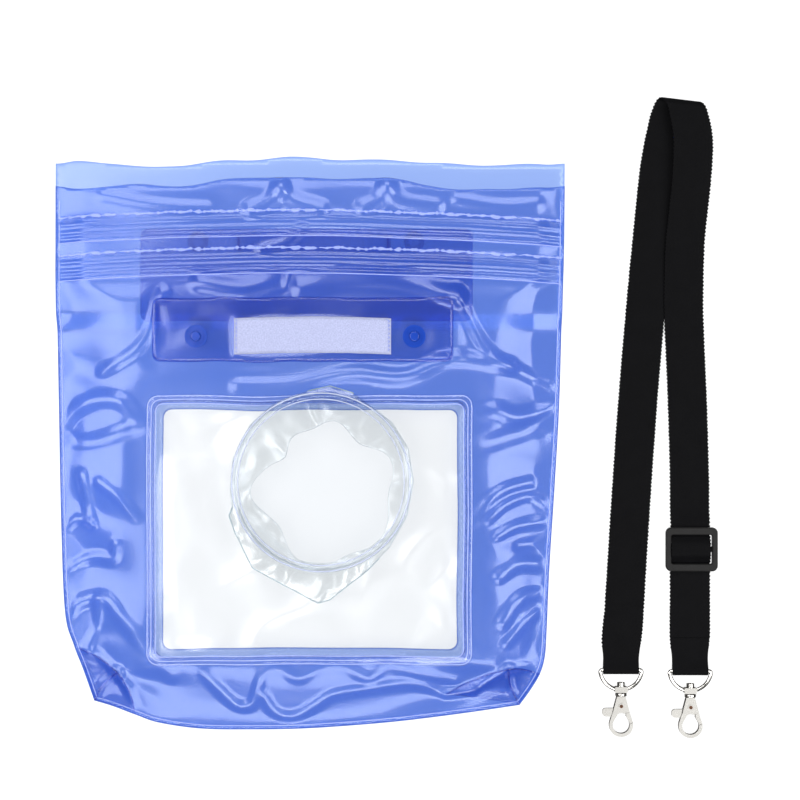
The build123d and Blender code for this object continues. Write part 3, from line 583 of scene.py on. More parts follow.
def track_line(level, x):
    """The track's middle at x: it rises towards the middle of the case, and waves a little."""
    middle = middle_mm(f"{level}_track_male")[1] - 1.2
    t = (x - (LEFT + RIGHT) / 2) / ((RIGHT - LEFT) / 2)
    seed = 3 if level == "upper" else 8
    return middle + TRACK_BOW * (0.62 - t * t) - TRACK_FALL * t + 0.5 * noise(x, 0 * x, 46, seed)


def edge_distance(x, y):
    """How far inside the case's side and bottom seams a point is."""
    return np.minimum(distance_to(x, y, CASE[::3]), 60)


def back_base(y):
    """The back sheet's underside: on the floor, and up over the closure tab."""
    return RAISED * smooth(y, 44, 58)


def track_ridges(x, y):
    """Ridges that the tracks' ribs press into the film above them."""
    total = np.zeros(np.shape(x))
    for level in TRACKS:
        off = y - track_line(level, x)
        for k, tall in ((-5.2, 0.55), (-1.8, 0.5), (2.6, 0.55)):
            total += tall * bump(off - k, 1.7)
        total += 0.6 * bump(off, 9.5)
    return total


def corner_folds(x, y):
    """The boxed corners: a weld from each ear's tip to an apex, and folds that fan out from it."""
    total = np.zeros(np.shape(x))
    left, right = LEFT_APEX, RIGHT_APEX
    welds = [[(-155.4, -150.6), (-151.2, -141), (-147, -137.6), left],
             [RIGHT_EAR, (66, -144.5), right]]
    ridges = [[(-164.1, -122.6), (-153, -126.5), left],
              [left, (-137.2, -144), (-134, -156.4)],
              [(31.5, -146.9), (47, -143.5), right],
              [right, (73.5, -132.2), (82.3, -136.6)]]
    for line in welds:
        far = distance_to(x, y, np.array(line), False)
        total -= 1.0 * bump(far, 2.0)
        total += 0.6 * bump(far - 3.0, 1.6)
    for line in ridges:
        total += 1.2 * bump(distance_to(x, y, np.array(line), False), 4.0)
    for (ax, ay), reach in ((left, 48), (right, 55)):
        r = np.hypot(x - ax, y - ay)
        a = np.arctan2(y - ay, x - ax)
        fan = 0.7 * np.sin(a * 5 + 1.3 * np.sin(a * 2))
        total += fan * smooth(r, 4, 20) * (1 - smooth(r, 20, reach))
    return total


def waves(x, y):
    """Slow swells of film that was packed folded."""
    return 3.6 * warped(x, y * 0.85, 78, 11, 0.5) + 1.2 * warped(x * 0.85, y, 44, 23, 0.5)


# Folds seen in the film: (height, half width, points along the fold), all in millimetres.
FOLDS = [
    # right of the window, from the top down
    (1.5, 6.0, [(44, 2.6), (58, 3.7), (69, 0.5), (91, 5.4)]),
    (-1.4, 7.0, [(46, -15.5), (66, -10), (91, 0)]),
    (1.5, 4.6, [(46, -55), (53, -45), (63, -38), (76, -34.5)]),
    (1.4, 4.2, [(53, -54), (63, -46), (76, -42), (87, -47.5)]),
    (1.5, 4.2, [(59, -62.5), (69.5, -57.5), (88, -55)]),
    (-1.2, 4.2, [(70, -68), (88, -66)]),
    (1.6, 5.4, [(60, -84), (71, -77.5), (88, -79)]),
    (1.5, 5.4, [(62, -108), (68, -98.5), (76, -94), (87, -94)]),
    (1.2, 4.0, [(64, -119), (72, -110), (80, -104)]),
    # below the window
    (1.5, 4.4, [(-97, -134), (-90, -142.5), (-80, -152.5), (-72, -152.5), (-68.5, -144.5),
                (-65, -134.5), (-57, -132), (-47, -137), (-37, -133), (-27.7, -131), (-18.7, -133),
                (-8.8, -137.5), (-0.5, -131), (10, -133), (22, -136.5), (36.5, -139.5)]),
    (1.3, 4.2, [(-65, -148), (-60, -156), (-50, -159), (-38, -153), (-29, -147), (-13, -144), (8.5, -141),
                (20, -142.5), (31.5, -146.5), (46, -145)]),
    # left of the window
    (1.5, 5.0, [(-161.5, -30), (-159, -44), (-156.5, -55.5)]),
    (1.2, 4.6, [(-152, -34), (-142, -42), (-132, -52)]),
    (1.3, 4.0, [(-172, -59), (-164, -54), (-156.5, -56.5)]),
    (1.5, 4.6, [(-171, -81), (-162, -76), (-154, -74), (-145, -74.5), (-143, -67)]),
    (1.7, 6.0, [(-170, -107), (-164, -99), (-154, -95), (-147, -97.5), (-139, -107.5),
                (-124, -124), (-114, -136)]),
    (1.3, 4.6, [(-153, -97), (-154, -108), (-159, -122)]),
    (1.4, 6.0, [(-171, -2), (-164, 5), (-151, 10), (-139, 8), (-130, -2)]),
    (-1.2, 6.0, [(-172, -11), (-156, -13), (-131, -5)]),
    # between the mouth and the upper track
    (2.5, 6.5, [(-72, 110), (-61, 115), (-56, 123)]),
    (2.5, 6.5, [(-56, 123), (-50, 115), (-35, 111)]),
    (2.5, 6.5, [(-12, 111), (-4, 115), (0, 124)]),
    (2.5, 6.5, [(0, 124), (7, 115), (26, 111.5)]),
    (1.4, 5.0, [(-150, 117), (-120, 112), (-95, 111)]),
    (1.4, 5.0, [(38, 115), (60, 112), (80, 113)]),
    # around the closure patch
    (3.0, 8.0, [(-45, 70), (-17, 74), (8, 73), (37, 64)]),
    (2.6, 8.0, [(-98, 72), (-78, 68), (-58, 73)]),
    (1.4, 4.5, [(-66, 89), (-52, 93), (-44, 101)]),
    (2.0, 6.5, [(-78, 16), (-49, 17), (-17, 24), (8, 21), (33, 31), (65, 27)]),
    (1.4, 5.0, [(37, 69), (46, 47), (58, 31.5), (88, 15.8)]),
    (1.2, 5.0, [(-118, 66), (-128, 40), (-150, 24)]),
]
FOLD_LINES = [(tall, wide, spline(points, 6 + 4 * len(points))) for tall, wide, points in FOLDS]


def folds(x, y):
    """The film's separate folds, each a rounded ridge or valley along its line."""
    total = np.zeros(np.shape(x))
    for tall, wide, line in FOLD_LINES:
        low, high = line.min(0) - wide, line.max(0) + wide
        near = (x > low[0]) & (x < high[0]) & (y > low[1]) & (y < high[1])
        if near.any():
            total[near] += tall * bump(distance_to(x[near], y[near], line, False), wide)
    return total


def edge_wrinkles(x, y, d):
    """Short folds that run in from the side seams."""
    near = smooth(d, 1.5, 9) * (1 - smooth(d, 20, 46)) * smooth(y, -135, -112)
    return near * 1.8 * warped(x * 0.20, y + 0.34 * x, 25, 51, 0.4)


def front_height(x, y):
    """Middle of the front sheet."""
    d = edge_distance(x, y)
    flap = smooth(y, FOLD_Y - 10, FOLD_Y + 6)
    base = back_base(y) + FILM * 1.4
    crown = (CROWN - 0.6) * (1 - flap) + (FLAP_TOP - 0.8) * flap
    side = smooth(d, SEAM, SIDE_SLOPE * (1 - flap) + FLAP_SLOPE * flap)
    free = smooth(d, SEAM + 1, 16)
    window = smooth(box_distance(x, y, WINDOW_LOW, WINDOW_HIGH, 5), 0, 14)
    to_patch = box_distance(x, y, PATCH_LOW, PATCH_HIGH, PATCH_CORNER)
    quiet = 0.30 + 0.70 * window * smooth(to_patch, 0, 9)
    calm = 1 - 0.75 * sum(bump(y - track_line(level, x), 11) for level in TRACKS)
    z = base + (crown - base) * side + waves(x, y) * free * quiet * (1 - 0.35 * flap) * calm
    creases = edge_wrinkles(x, y, d) + folds(x, y) * smooth(d, 1, 7)
    z = z + creases * (0.25 + 0.75 * window) * (1 - 0.4 * flap)
    z = z + track_ridges(x, y) * smooth(d, 0.5, 4)
    z = z + corner_folds(x, y) * smooth(d, 1, 8)
    # The film stays below the patch, so that the studs stand above it.
    above = np.maximum(z - (PATCH_LOW[2] - 0.15), 0)
    z = z - above * smooth(-to_patch, -2, 3)
    return np.maximum(z, base)


def back_height(x, y):
    """Middle of the back sheet: flat on the floor, a little loose over the tab."""
    d = edge_distance(x, y)
    lift = 0.35 * np.clip(warped(x, y, 38, 57), 0, 1) * smooth(d, 4, 20)
    return back_base(y) + FILM / 2 + lift


def window_height(x, y):
    """Top of the window sheet, which lies on the front film at its rim."""
    rim = box_distance(x, y, WINDOW_LOW, WINDOW_HIGH, 5)
    port = np.hypot(x - PORT_X, y - PORT_Y)
    loose = smooth(-rim, WELD_BAND, WELD_BAND + 12) * smooth(port, PORT_R, PORT_R + 16)
    swell = 3.2 * warped(x, y, 66, 71, 0.5) + 1.4 * warped(x, y, 33, 77, 0.6)
    swell = swell + 0.9 * crease(x, y, 50, 83)
    z = front_height(x, y) + FILM * 0.9 + swell * loose
    for k in (1.0, 3.0, 5.0):
        z = z + 0.30 * bump(rim + k, 1.0)
    return z


# ---- case: sheets


def mouth_loop(mouth, seed, bow):
    """The outline with a wavy mouth edge that rises in the middle left."""
    loop = case_loop(mouth)
    top = loop[:, 1] > mouth - 0.01
    x = loop[top, 0]
    ends = smooth(x, LEFT, LEFT + 12) * (1 - smooth(x, RIGHT - 12, RIGHT))
    loop[top, 1] += ends * (bow * bump(x + 40, 85) + 2.4 * noise(x, 0 * x, 34, seed) - 0.6)
    return loop


def wobble(loop):
    """The loop, pushed about a little as the film shrank when it was welded."""
    x, y = loop[:, 0], loop[:, 1]
    return loop + np.stack([0.5 * noise(x, y, 44, 201), 0.9 * noise(x, y, 38, 203)], 1)


def near_tracks(x, y):
    """True where the front film lies over a track."""
    return np.minimum(*[abs(y - track_line(level, x)) for level in TRACKS]) < 8.2


def track_points():
    """Points in rows along both tracks, close enough together for the ridges."""
    rows = []
    for level in TRACKS:
        for off in np.arange(-7.8, 7.9, 0.6):
            x = np.arange(LEFT + 2.2, RIGHT - 2.2, 1.1)
            rows.append(np.stack([x, track_line(level, x) + off], 1))
    return np.vstack(rows)


def window_hole(low, high):
    """The hole in the blue film behind a window."""
    return wobble(rounded_box(low + WELD_BAND, high - WELD_BAND, 4.5))


def rear_window_height(x, y):
    """Middle of the rear window's sheet, a little loose over the back sheet."""
    return back_height(x, y) + FILM * 0.9 + 0.5 * np.clip(warped(x, y, 30, 91), 0, 1)


def make_case():
    """The back and front sheets with their two windows."""
    back = sheet_mesh("back_film", mouth_loop(MOUTH_BACK, 5, 3.8), [window_hole(REAR_LOW, REAR_HIGH)], 2.6,
                      back_height, BLUE)
    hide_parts("back_panel", "back_lip")
    front = sheet_mesh("front_film", mouth_loop(MOUTH_FRONT, 9, 5.8),
                       [window_hole(WINDOW_LOW, WINDOW_HIGH)], 1.5, front_height, BLUE,
                       fine=(near_tracks, track_points()))
    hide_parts("front_panel", "front_lip")
    for piece in (back, front):
        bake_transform(piece)

    sleeve_hole = circle(PORT_X, PORT_Y, 45.8)
    for name, low, high, holes, spacing, height in (
        ("front_window", WINDOW_LOW, WINDOW_HIGH, [sleeve_hole], 1.5, window_height),
        ("rear_window", REAR_LOW, REAR_HIGH, [], 2.2, rear_window_height),
    ):
        outline = wobble(rounded_box(low, high, WINDOW_CORNER))
        window = sheet_mesh(f"{name}_sheet", outline, holes, spacing, height, CLEAR,
                            WINDOW_FILM)
        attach(window, "bag")
        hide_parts(name)


make_case()

# ---- tracks


def make_track(level, kind):
    """One half of a press-to-close track: a ribbed strip that follows the track's line."""
    low, high = box_mm(f"{level}_track_{kind}")
    x = np.linspace(LEFT + 1.6, RIGHT - 1.6, 260)
    middle = track_line(level, x)
    across = np.linspace(-TRACK_HALF_HEIGHT, TRACK_HALF_HEIGHT, 41)
    pinch = smooth(x, LEFT + 1, LEFT + 9) * (1 - smooth(x, RIGHT - 9, RIGHT - 1))
    rows = []
    for off in across:
        rib = sum(bump(off - k, 1.1) for k in (-3.4, 0.6))
        ragged = 0.55 * noise(x * 3.1, 0 * x, 6, 15) if off > TRACK_HALF_HEIGHT - 0.7 else 0
        rise = (high[2] - 0.6 - 0.3 * rib) if kind == "male" else (low[2] + 0.45 + 0.3 * rib)
        z = RAISED + 0.9 + (rise - RAISED - 0.9) * pinch
        rows.append(np.stack([x, middle + off + ragged, z], 1))
    piece = thicken(grid_mesh(f"{level}_track_{kind}_strip", rows, BLUE_PALE), 0.3)
    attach(piece, "top_flap")
    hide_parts(f"{level}_track_{kind}")


for level in TRACKS:
    for kind in ("female", "male"):
        make_track(level, kind)


def bead(name, points, radius, material, body=None, ragged=0.0, seed=0, closed=False):
    """A thin welded bead along a line of (x, y, z), which may ride on a body.

    ragged is how uneven its width is.
    """
    p = np.vstack([points, points[:1]]) if closed else np.asarray(points, float)
    along = np.gradient(p, axis=0)
    along /= np.linalg.norm(along, axis=1)[:, None]
    side = np.cross(along, (0, 0, 1))
    side /= np.linalg.norm(side, axis=1)[:, None]
    steps = np.arange(len(p)) * 1.0
    wide = radius * (1 + ragged * noise(steps, 0 * steps, 2.6, seed))
    up = np.array([0, 0, 0.55])
    rows = [p + side * (wide * math.cos(a))[:, None] + up * (wide * math.sin(a))[:, None]
            for a in np.linspace(0, 2 * math.pi, 9)[:-1]]
    piece = grid_mesh(name, np.stack(rows, 1), material, closed=True)
    if body:
        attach(piece, body)
    return piece


def make_track_beads():
    """The weld lines above and below each track, the upper one ragged, their light colour a painted
    highlight.
    """
    for level in TRACKS:
        x = np.linspace(LEFT + 2, RIGHT - 2, 420)
        for side, off, radius, ragged in (("top", 6.6, 0.66, 1.4), ("bottom", -6.9, 0.30, 0.15)):
            y = track_line(level, x) + off + 0.40 * ragged * noise(x, 0 * x, 3.6, 44)
            z = front_height(x, y) + 0.25
            bead(f"{level}_track_weld_{side}", np.stack([x, y, z], 1), radius, WELD_PAINTED_HIGHLIGHT,
                 "top_flap", ragged, 7)


make_track_beads()

# ---- seams and boxed corners

SEAM_LINE = 2.0
# Each ear's tip, the middle of its weld, its apex, and its curved fold.
EARS = {
    "left": {"tip": (-155.4, -150.4), "weld": (-150.6, -141.6), "apex": LEFT_APEX,
             "fold": [(-164.3, -122.6), (-157.0, -125.5), (-149.4, -130.0), LEFT_APEX,
                      (-138.4, -141.5), (-135.6, -148.5), (-134.2, -156.6)]},
    "right": {"tip": (70.4, -152.6), "weld": (66.0, -143.0), "apex": RIGHT_APEX,
              "fold": [(31.5, -146.9), (41.5, -141.6), (53.0, -136.4), RIGHT_APEX,
                       (72.0, -133.6), (81.6, -136.6)]},
}


def inset_loop(loop, distance):
    """The loop moved inwards."""
    travel = np.roll(loop, -3, 0) - np.roll(loop, 3, 0)
    travel /= np.linalg.norm(travel, axis=1)[:, None]
    return loop + np.stack([-travel[:, 1], travel[:, 0]], 1) * distance


def make_seam_lines():
    """The weld's inner edge, a thin line just inside the sides and the bottom, light in colour as a painted
    highlight.
    """
    loop = CASE[CASE[:, 1] < MOUTH_FRONT - 2]
    start = int(np.argmax(np.linalg.norm(np.diff(np.vstack([loop, loop[:1]]), axis=0), axis=1)))
    line = respaced(np.roll(inset_loop(loop, SEAM_LINE), -start - 1, 0)[4:-4], 900)
    z = front_height(line[:, 0], line[:, 1]) + 0.18
    piece = bead("side_seam_line", np.column_stack([line, z]), 0.30, WELD_PAINTED_HIGHLIGHT, None, 0.2, 21)
    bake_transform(piece)


def ear_height(x, y):
    """Middle of the film that is folded inside a boxed corner."""
    return np.maximum(front_height(x, y) - 1.0, back_height(x, y) + 0.5)


def make_ear(side):
    """A boxed corner: the film folded inside it, its curved fold, and its weld."""
    ear = EARS[side]
    fold = spline(ear["fold"], 60)
    piece = sheet_mesh(f"{side}_corner_fold", inset_ear(fold, ear["tip"]), [], 1.2, ear_height, BLUE_MID)
    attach(piece, "bag")
    weld = spline([ear["tip"], ear["weld"], ear["apex"]], 60)
    for name, line, radius in (("weld", weld, 0.55), ("crease", fold, 0.4)):
        z = front_height(line[:, 0], line[:, 1]) + 0.2
        bead(f"{side}_corner_{name}", np.column_stack([line, z]), radius, BLUE, "bag", 0.2, 25)


def inset_ear(fold, tip):
    """The fold, closed by way of the ear's tip, just inside the case's edge."""
    ends = [fold[-1], np.array(tip), fold[0]]
    edge = np.vstack([respaced(np.array(ends[:2]), 12)[:-1], respaced(np.array(ends[1:]), 20)[:-1]])
    loop = np.vstack([fold[:-1], edge])
    middle = loop.mean(0)
    return even_loop(middle + (loop - middle) * 0.985, 1.3)


make_seam_lines()
for side in EARS:
    make_ear(side)

# ---- closure patch and strip


STUD_X = [middle_mm(f"stud_{side}")[0] for side in SIDES]
STUD_Y = middle_mm("stud_left")[1]


def patch_height(x, y):
    """Middle of the patch: it follows the film, but lies flat at the studs and under the strip."""
    inner = -box_distance(x, y, PATCH_LOW, PATCH_HIGH, PATCH_CORNER)
    swell = 0.55 * warped(x, y, 26, 101, 0.8) * smooth(inner, 2, 8)
    snaps = sum(bump(np.hypot(x - sx, y - STUD_Y), 12) for sx in STUD_X)
    flat = 1 - np.clip(snaps + smooth(-box_distance(x, y, HOOK_LOW, HOOK_HIGH, 1), -3, 2), 0, 1)
    z = front_height(x, y) * flat + (PATCH_LOW[2] + 0.15) * (1 - flat) + FILM * 0.95 + swell * flat
    return z + 0.22 * bump(inner - 2.2, 0.8)


def patch_outline(low, high, seed, wave):
    """A rounded outline with slightly wavy edges."""
    loop = rounded_box(low, high, PATCH_CORNER, 1.2)
    loop[:, 1] += wave * noise(loop[:, 0], loop[:, 1] * 0.3, 24, seed)
    return loop


def make_patch():
    """The welded patch with its strip of hooks."""
    patch = sheet_mesh("closure_patch_sheet", patch_outline(PATCH_LOW, PATCH_HIGH, 13, 0.8), [], 1.5,
                       patch_height, BLUE)
    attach(patch, "bag")
    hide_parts("closure_patch")
    rim = patch_outline(PATCH_LOW + 0.9, PATCH_HIGH - 0.9, 13, 0.8)
    line = np.column_stack([rim, patch_height(rim[:, 0], rim[:, 1]) + 0.15])
    bead("closure_patch_weld", line, 0.42, BLUE, "bag", 0.15, 31, closed=True)
    arch_strip("hook_strip_fabric", HOOK_LOW, HOOK_HIGH, 0.9, "bag", "hook_strip", HOOKS)


def arch_strip(name, low, high, arch, body, stands_for, material):
    """A woven strip with rows of small hooks, its long edges gently arched, and stitched ends."""
    wide, tall = high[0] - low[0], high[1] - low[1]
    count_x, count_y = int(wide / 0.5), int(tall / 0.5)
    rows = []
    for j in range(count_y + 1):
        v = j / count_y
        x = np.linspace(low[0], high[0], count_x + 1)
        t = (x - low[0]) / wide * 2 - 1
        y = low[1] + tall * v + arch * (0.5 - t * t) + 0.15 * noise(x, x * 0 + v * 40, 7, 19)
        weave = 0.22 * ((np.arange(count_x + 1) + j) % 2) + 0.25 * np.abs(noise(x, y, 1.4, 29))
        edge = smooth(min(v, 1 - v) * tall, 0.2, 1.4)
        z = low[2] + 0.45 + (high[2] - low[2] - 0.65) * edge + weave * edge
        ends = smooth(np.minimum(x - low[0], high[0] - x), 0.3, 2.2)
        rows.append(np.stack([x, y, low[2] + 0.3 + (z - low[2] - 0.3) * (0.35 + 0.65 * ends)], 1))
    piece = thicken(grid_mesh(name, rows, material), 0.4)
    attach(piece, body)
    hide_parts(stands_for)
    for k, end in enumerate((low[0] + 1.6, high[0] - 1.6)):
        zigzag = np.array([(end + (0.9 if n % 2 else -0.9), low[1] + 1 + (tall - 2) * n / 16, high[2] - 0.1)
                           for n in range(17)])
        bead(f"{name}_stitch_{k}", respaced(zigzag, 97), 0.20, THREAD, body)


def make_window_lines(name, low, high, material, offsets, height):
    """The parallel lines that the welding tool leaves round a window."""
    for k, off in enumerate(offsets):
        loop = wobble(rounded_box(low + off, high - off, WINDOW_CORNER - off * 0.4, 1.0))
        z = height(loop[:, 0], loop[:, 1]) + 0.2
        bead(f"{name}_window_line_{k}", np.column_stack([loop, z]), 0.30, material, "bag",
             0.3, 60 + k, closed=True)


def above_back(x, y):
    """Top of the back sheet."""
    return back_height(x, y) + FILM


make_patch()
# The front window's lines carry the light weld colour, a painted highlight on the weld ridges.
make_window_lines("front", WINDOW_LOW, WINDOW_HIGH, WELD_PAINTED_HIGHLIGHT, (0.7, 2.7, 4.9), window_height)
make_window_lines("rear", REAR_LOW, REAR_HIGH, BLUE_MID, (0.6, 4.8), above_back)

# ---- closure tab on the back


def tab_height(x, y):
    """Middle of the tab, almost flat."""
    return 0 * x + (TAB_LOW[2] + TAB_HIGH[2]) / 2 + 0.12 * warped(x, y, 30, 5)


def make_tab():
    """The tab under the back sheet, with its strip of loops."""
    tab = sheet_mesh("closure_tab_sheet", patch_outline(TAB_LOW + (0, 0.4, 0), TAB_HIGH, 33, 0.2), [], 2.4,
                     tab_height, BLUE, TAB_HIGH[2] - TAB_LOW[2])
    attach(tab, "tab")
    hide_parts("closure_tab")
    low, high = box_mm("loop_strip")
    arch_strip("loop_strip_fabric", low, high, 0.0, "tab", "loop_strip", LOOPS)


make_tab()

# ---- lens sleeve

SLEEVE_WALL = 45.85  # radius where the sleeve meets the window and the ring

# Corners of the collapsed sleeve's outermost fold, seen from above, anticlockwise from the right.
SLEEVE_CORNERS = [(14.3, -33.6), (11.5, -16), (3.0, -2.5), (-6.0, 4.2), (-18, 13.2), (-29.9, 16.8),
                  (-41, 14.2), (-58, 8.5), (-72, -4.0), (-81, -22), (-82.4, -38), (-81.3, -47.4),
                  (-83.1, -51.6), (-80.2, -59.6), (-70.7, -79.1), (-57.4, -86.3), (-36.3, -97.7),
                  (-29.9, -96.0), (-17.7, -86.3), (-10.3, -80.7), (1.5, -68.5), (10.8, -52.0)]


def reach_of(corners, angle):
    """Distance from the port's axis to a polygon, at these angles."""
    corners = np.array(corners) - (PORT_X, PORT_Y)
    reach = np.zeros(len(angle))
    dx, dy = np.cos(angle), np.sin(angle)
    for a, b in zip(corners, np.roll(corners, -1, 0)):
        edge = b - a
        cross = dx * edge[1] - dy * edge[0]
        cross = np.where(np.abs(cross) < 1e-9, 1e-9, cross)
        far = (a[0] * edge[1] - a[1] * edge[0]) / cross
        along = (a[0] * dy - a[1] * dx) / cross
        hit = (far > 0) & (along >= -1e-6) & (along <= 1 + 1e-6)
        reach = np.where(hit, np.maximum(reach, far), reach)
    return reach


def make_sleeve():
    """The crumpled sleeve: folded out over the window, then in under the disc."""
    count = 44
    out_share = 0.55  # how much of the sleeve's height is in the outer fold
    angle = np.radians(np.arange(360))
    reach = reach_of(SLEEVE_CORNERS, angle)
    tuck = 12.0 + 7.0 * np.sin(angle - 0.3) + 9.0 * noise(np.cos(angle) * 34, np.sin(angle) * 34, 27, 113)
    tuck = np.clip(tuck, 3, 27)
    foot, top = WINDOW_HIGH[2], RING_LOW[2]
    rows = []
    for k in range(count + 1):
        t = k / count
        out = math.sin(math.pi * min(1, t / out_share)) ** 0.8 if t < out_share else 0
        inward = math.sin(math.pi * (t - out_share) / 0.45) ** 1.2 if t > out_share else 0
        radius = SLEEVE_WALL + (reach - SLEEVE_WALL) * out - tuck * inward
        px, py = radius * np.cos(angle), radius * np.sin(angle)
        crumple = 1.1 * warped(px, py, 11 + 3 * t, 121, 0.9) + 0.9 * crease(px, py, 17, 131)
        loose = out * smooth(reach, 47.2, 53) + inward
        z = foot + 0.3 + (top - foot - 0.5) * smooth(t, 0.03, 0.97) + loose * crumple
        z = np.minimum(z, top + 2.5 * inward)
        rows.append(np.stack([PORT_X + px, PORT_Y + py, z], 1))
    piece = thicken(grid_mesh("lens_sleeve_film", rows, SLEEVE, closed=True), 0.25)
    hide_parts("lens_sleeve")
    widest = np.array(rows[int(count * 0.275)])
    # Dark lines along the sleeve's widest fold: painted shade where the clear film turns edge-on.
    for name, first, last in (("top", 70, 100), ("low", 196, 308)):
        line = widest[first:last] + (0, 0, 0.1)
        bead(f"sleeve_fold_painted_shade_{name}", line, 0.26, FOLD_SHADE_LINE, "bag", 0.4, 41)
    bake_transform(piece)


def make_port_rim():
    """The two fine edges that the welded ring shows round the port's disc, as thin beads whose dark blue-grey
    is painted shade where the clear edges look dark.
    """
    top = RING_HIGH[2]
    for name, radius, thick in (("outer", PORT_R - 0.5, 0.34), ("inner", PORT_R - 3.6, 0.26)):
        ring = circle(PORT_X, PORT_Y, radius, 1.2)
        line = np.column_stack([ring, np.full(len(ring), top - 0.12)])
        bead(f"port_rim_{name}", line, thick, RIM_SHADE_LINE, "lens_port", closed=True)


make_sleeve()
make_port_rim()

# ---- strap webbing

WEB = 20.8  # width of the webbing
AT_RING = 18.9  # its width where it is gathered in a ring
WEB_THICK = 0.94
RIB_PITCH = 0.56
BEND = 1.75  # radius of the webbing's middle round a ring's bar
SLIDER_Y = middle_mm("slider_frame")[1]
SHORT_X = middle_mm("short_webbing")[0]

# Half of the webbing's section, as shares of half the width and of the thickness. The other
# half is the same, turned round.
HALF_SECTION = [(-1, -0.18), (-0.992, -0.42), (-0.95, -0.5), (-0.6, -0.5), (-0.2, -0.5), (0.2, -0.5),
                (0.6, -0.5), (0.95, -0.5), (0.992, -0.42), (1, -0.18)]
SECTION = HALF_SECTION + [(-u, -w) for u, w in HALF_SECTION]


def webbing(name, stations, stands_for, body=None, caps=(True, True)):
    """Ribbed webbing through stations of (x, y, z, turn of its width in degrees, width)."""
    s = np.array([(*station, WEB)[:5] for station in stations], float)
    dense = spline(s, int(line_length(s[:, :3]) / RIB_PITCH * 2) + 1)
    centre = dense[:, :3]
    turn = np.radians(dense[:, 3])
    travel = np.gradient(centre, axis=0)
    across = np.stack([np.cos(turn), np.sin(turn), 0 * turn], 1)
    travel -= across * np.sum(across * travel, 1)[:, None]
    travel /= np.linalg.norm(travel, axis=1)[:, None]
    normal = np.cross(across, travel)
    steps = np.arange(len(centre))
    rib = np.where(steps % 2 == 0, 0.06, -0.03)
    scallop = 0.28 * np.cos(steps * RIB_PITCH / 2 * math.pi) + 0.10 * noise(steps * 0.28, 0 * steps, 5, 3)
    half = dense[:, 4] / 2
    rows = []
    for u, w in SECTION:
        edge = abs(u) > 0.97
        out = np.sign(u) * (half + scallop * (dense[:, 4] > 20)) if edge else u * half
        up = w * WEB_THICK + np.sign(w) * rib * (0.4 if edge else 1)
        rows.append(centre + across * out[:, None] + normal * up[:, None])
    piece = grid_mesh(name, np.stack(rows, 1), WEBBING, closed=True, caps=caps)
    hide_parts(*stands_for)
    if body:
        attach(piece, body)
    return piece


def round_bar(x, y, z, radius, first, last, count, width):
    """Stations round a bar that lies along x, from the first angle to the last."""
    return [(x, y + radius * math.cos(a), z + radius * math.sin(a), 0, width)
            for a in np.radians(np.linspace(first, last, count))]


def round_ring(side):
    """Stations round the straight bar of a D-ring."""
    low, high = box_mm(f"{side}_d_ring")
    middle = (low + high) / 2
    return round_bar(middle[0], high[1] - 1.0, middle[2], BEND, -90, -270, 6, AT_RING)


# Heights of the webbing's middle when it lies on the floor, and as a second and third layer.
FLOOR = 0.52
SECOND = 1.65
THIRD = 2.8
SPLIT = (161.3, 122, 4.9, 3.4)
LEFT_LEG = [
    (126.2, -104, FLOOR, -2), (124.9, -118, FLOOR, -1), (124.6, -127, 0.7, 0, AT_RING),
    *round_ring("left"),
    (124.6, -127, 2.3, 0, AT_RING), (125.4, -114, SECOND, -2), (126.3, -102, 1.5, -3),
    (127.0, -92, FLOOR, -3.4), (130, -43.7, FLOOR, -3), (133.7, 9.3, FLOOR, -3.2),
    (138.6, 67, FLOOR, -5.8), (141.8, 99.8, FLOOR, -8), (145.3, 132.6, FLOOR, -9.5),
    (149.4, 154, 0.6, -11), (151.6, 162.2, 1.0, -9), (153.6, 166.8, 2.2, -8),
    (155.4, 168.2, 4.2, -7.2), (157.4, 167, 6.3, -6), (159.4, 162.4, 7.5, -5),
    (162.0, 149, 7.1, -1), (162.1, 136, 6.1, 2), SPLIT,
]
RIGHT_LEG = [
    SPLIT, (159.9, 108, 3.6, 3.4), (158.5, 92, 2.4, 1.5), (158.0, 72, 1.6, -1), (158.1, 52, 1.1, -1.5),
    (160.0, 9, FLOOR, -1.5), (161.1, -30, FLOOR, -0.8), (SHORT_X, -47, 0.7, 0),
    *[(SHORT_X, SLIDER_Y + off, z, 0) for off, z in (
        (13.5, 2.6), (8.2, THIRD), (3.0, 5.7), (0, 6.0), (-3.0, 5.7), (-8.2, THIRD), (-13.5, THIRD))],
    (SHORT_X, -100, THIRD, 0), (SHORT_X, -116.7, THIRD, 0),
]


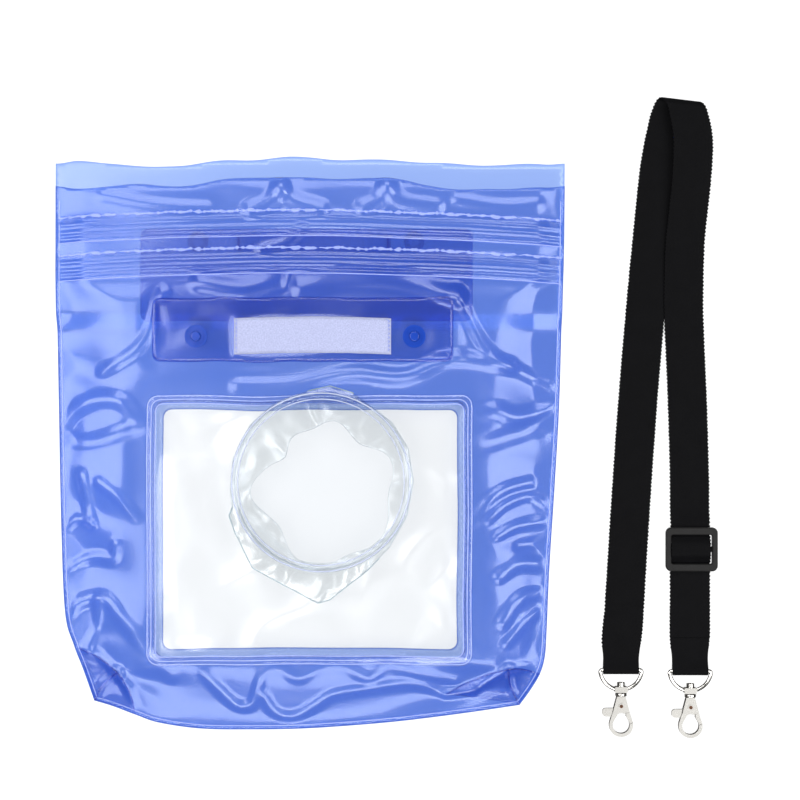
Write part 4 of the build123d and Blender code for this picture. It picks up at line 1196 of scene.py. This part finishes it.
def short_loop_stations():
    """The short webbing: round the ring, then up and round the slider's middle bar."""
    x = round_ring("right")[0][0]
    wrap = 1.3
    bar_z = 3.4
    above = bar_z + wrap
    below = bar_z - wrap
    return [
        (x, -100.2, FLOOR, 0), (x, -118, FLOOR, 0), (x, -127, 0.7, 0, AT_RING),
        *round_ring("right"),
        (x, -127, 2.3, 0, AT_RING), (x, -114, SECOND, 0), (x, SLIDER_Y - 9, SECOND, 0),
        (x, SLIDER_Y - 2.6, above, 0), (x, SLIDER_Y + 1.2, above, 0),
        *round_bar(x, SLIDER_Y + 1.6, bar_z, wrap, 45, -45, 3, WEB),
        (x, SLIDER_Y + 1.2, below, 0), (x, SLIDER_Y - 3.0, below - 0.2, 0),
        (x, SLIDER_Y - 10, FLOOR, 0), (x, -99.6, FLOOR, 0),
    ]


webbing("strap_left_leg", LEFT_LEG, ["long_webbing"], "strap", (True, False))
right_leg = webbing("strap_right_leg", RIGHT_LEG, [], None, (False, True))
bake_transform(right_leg)
webbing("short_loop", short_loop_stations(), ["short_webbing"], "short_strap")

# ---- CAD nodes that stay: materials and softened edges


def dress(names, material, bevel=0.0, segments=3):
    """Gives CAD nodes a material, and bevels their edges by this many millimetres."""
    for name in names:
        obj = NODES[name]
        obj.data.materials.clear()
        obj.data.materials.append(material)
        if bevel:
            edge = obj.modifiers.new("Edges", "BEVEL")
            edge.width = bevel * MM
            edge.segments = segments
            edge.limit_method = "ANGLE"
            edge.angle_limit = math.radians(35)
            edge.harden_normals = True


def make_rivet_eye(side):
    """The dimple that the rivet's punch leaves in the middle of its head, coloured near-black as painted
    shade in its hollow.
    """
    x, y = middle_mm(f"{side}_gate_rivet")[:2]
    top = box_mm(f"{side}_gate_rivet")[1][2] + 0.12
    rows = []
    for radius, sunk in ((0.95, 0.0), (0.8, 0.10), (0.4, 0.05), (0.02, 0.05)):
        ring = circle(x, y, radius, radius * 0.35)
        rows.append(np.column_stack([ring, np.full(len(ring), top - sunk)]))
    eye = grid_mesh(f"{side}_rivet_eye", rows, RIVET_EYE_SHADE, closed=True)
    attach(eye, f"{side}_hook")


for side in SIDES:
    dress([f"{side}_d_ring", f"{side}_swivel_post", f"{side}_gate_rivet"], NICKEL, 0.25)
    dress([f"{side}_hook_body", f"{side}_gate_lever"], NICKEL, 0.5, 1)
    dress([f"{side}_gate_spring"], STEEL)
    dress([f"stud_{side}", f"stud_cap_{side}"], SNAP, 0.2)
    dress([f"socket_{side}", f"socket_cap_{side}"], SOCKET, 0.2)
    make_rivet_eye(side)
dress(["slider_frame"], SLIDER, 0.5)
dress(["lens_ring", "lens_disc", "sleeve_clamp"], PORT, 0.25)
dress(["tab_weld"], BLUE_PALE)
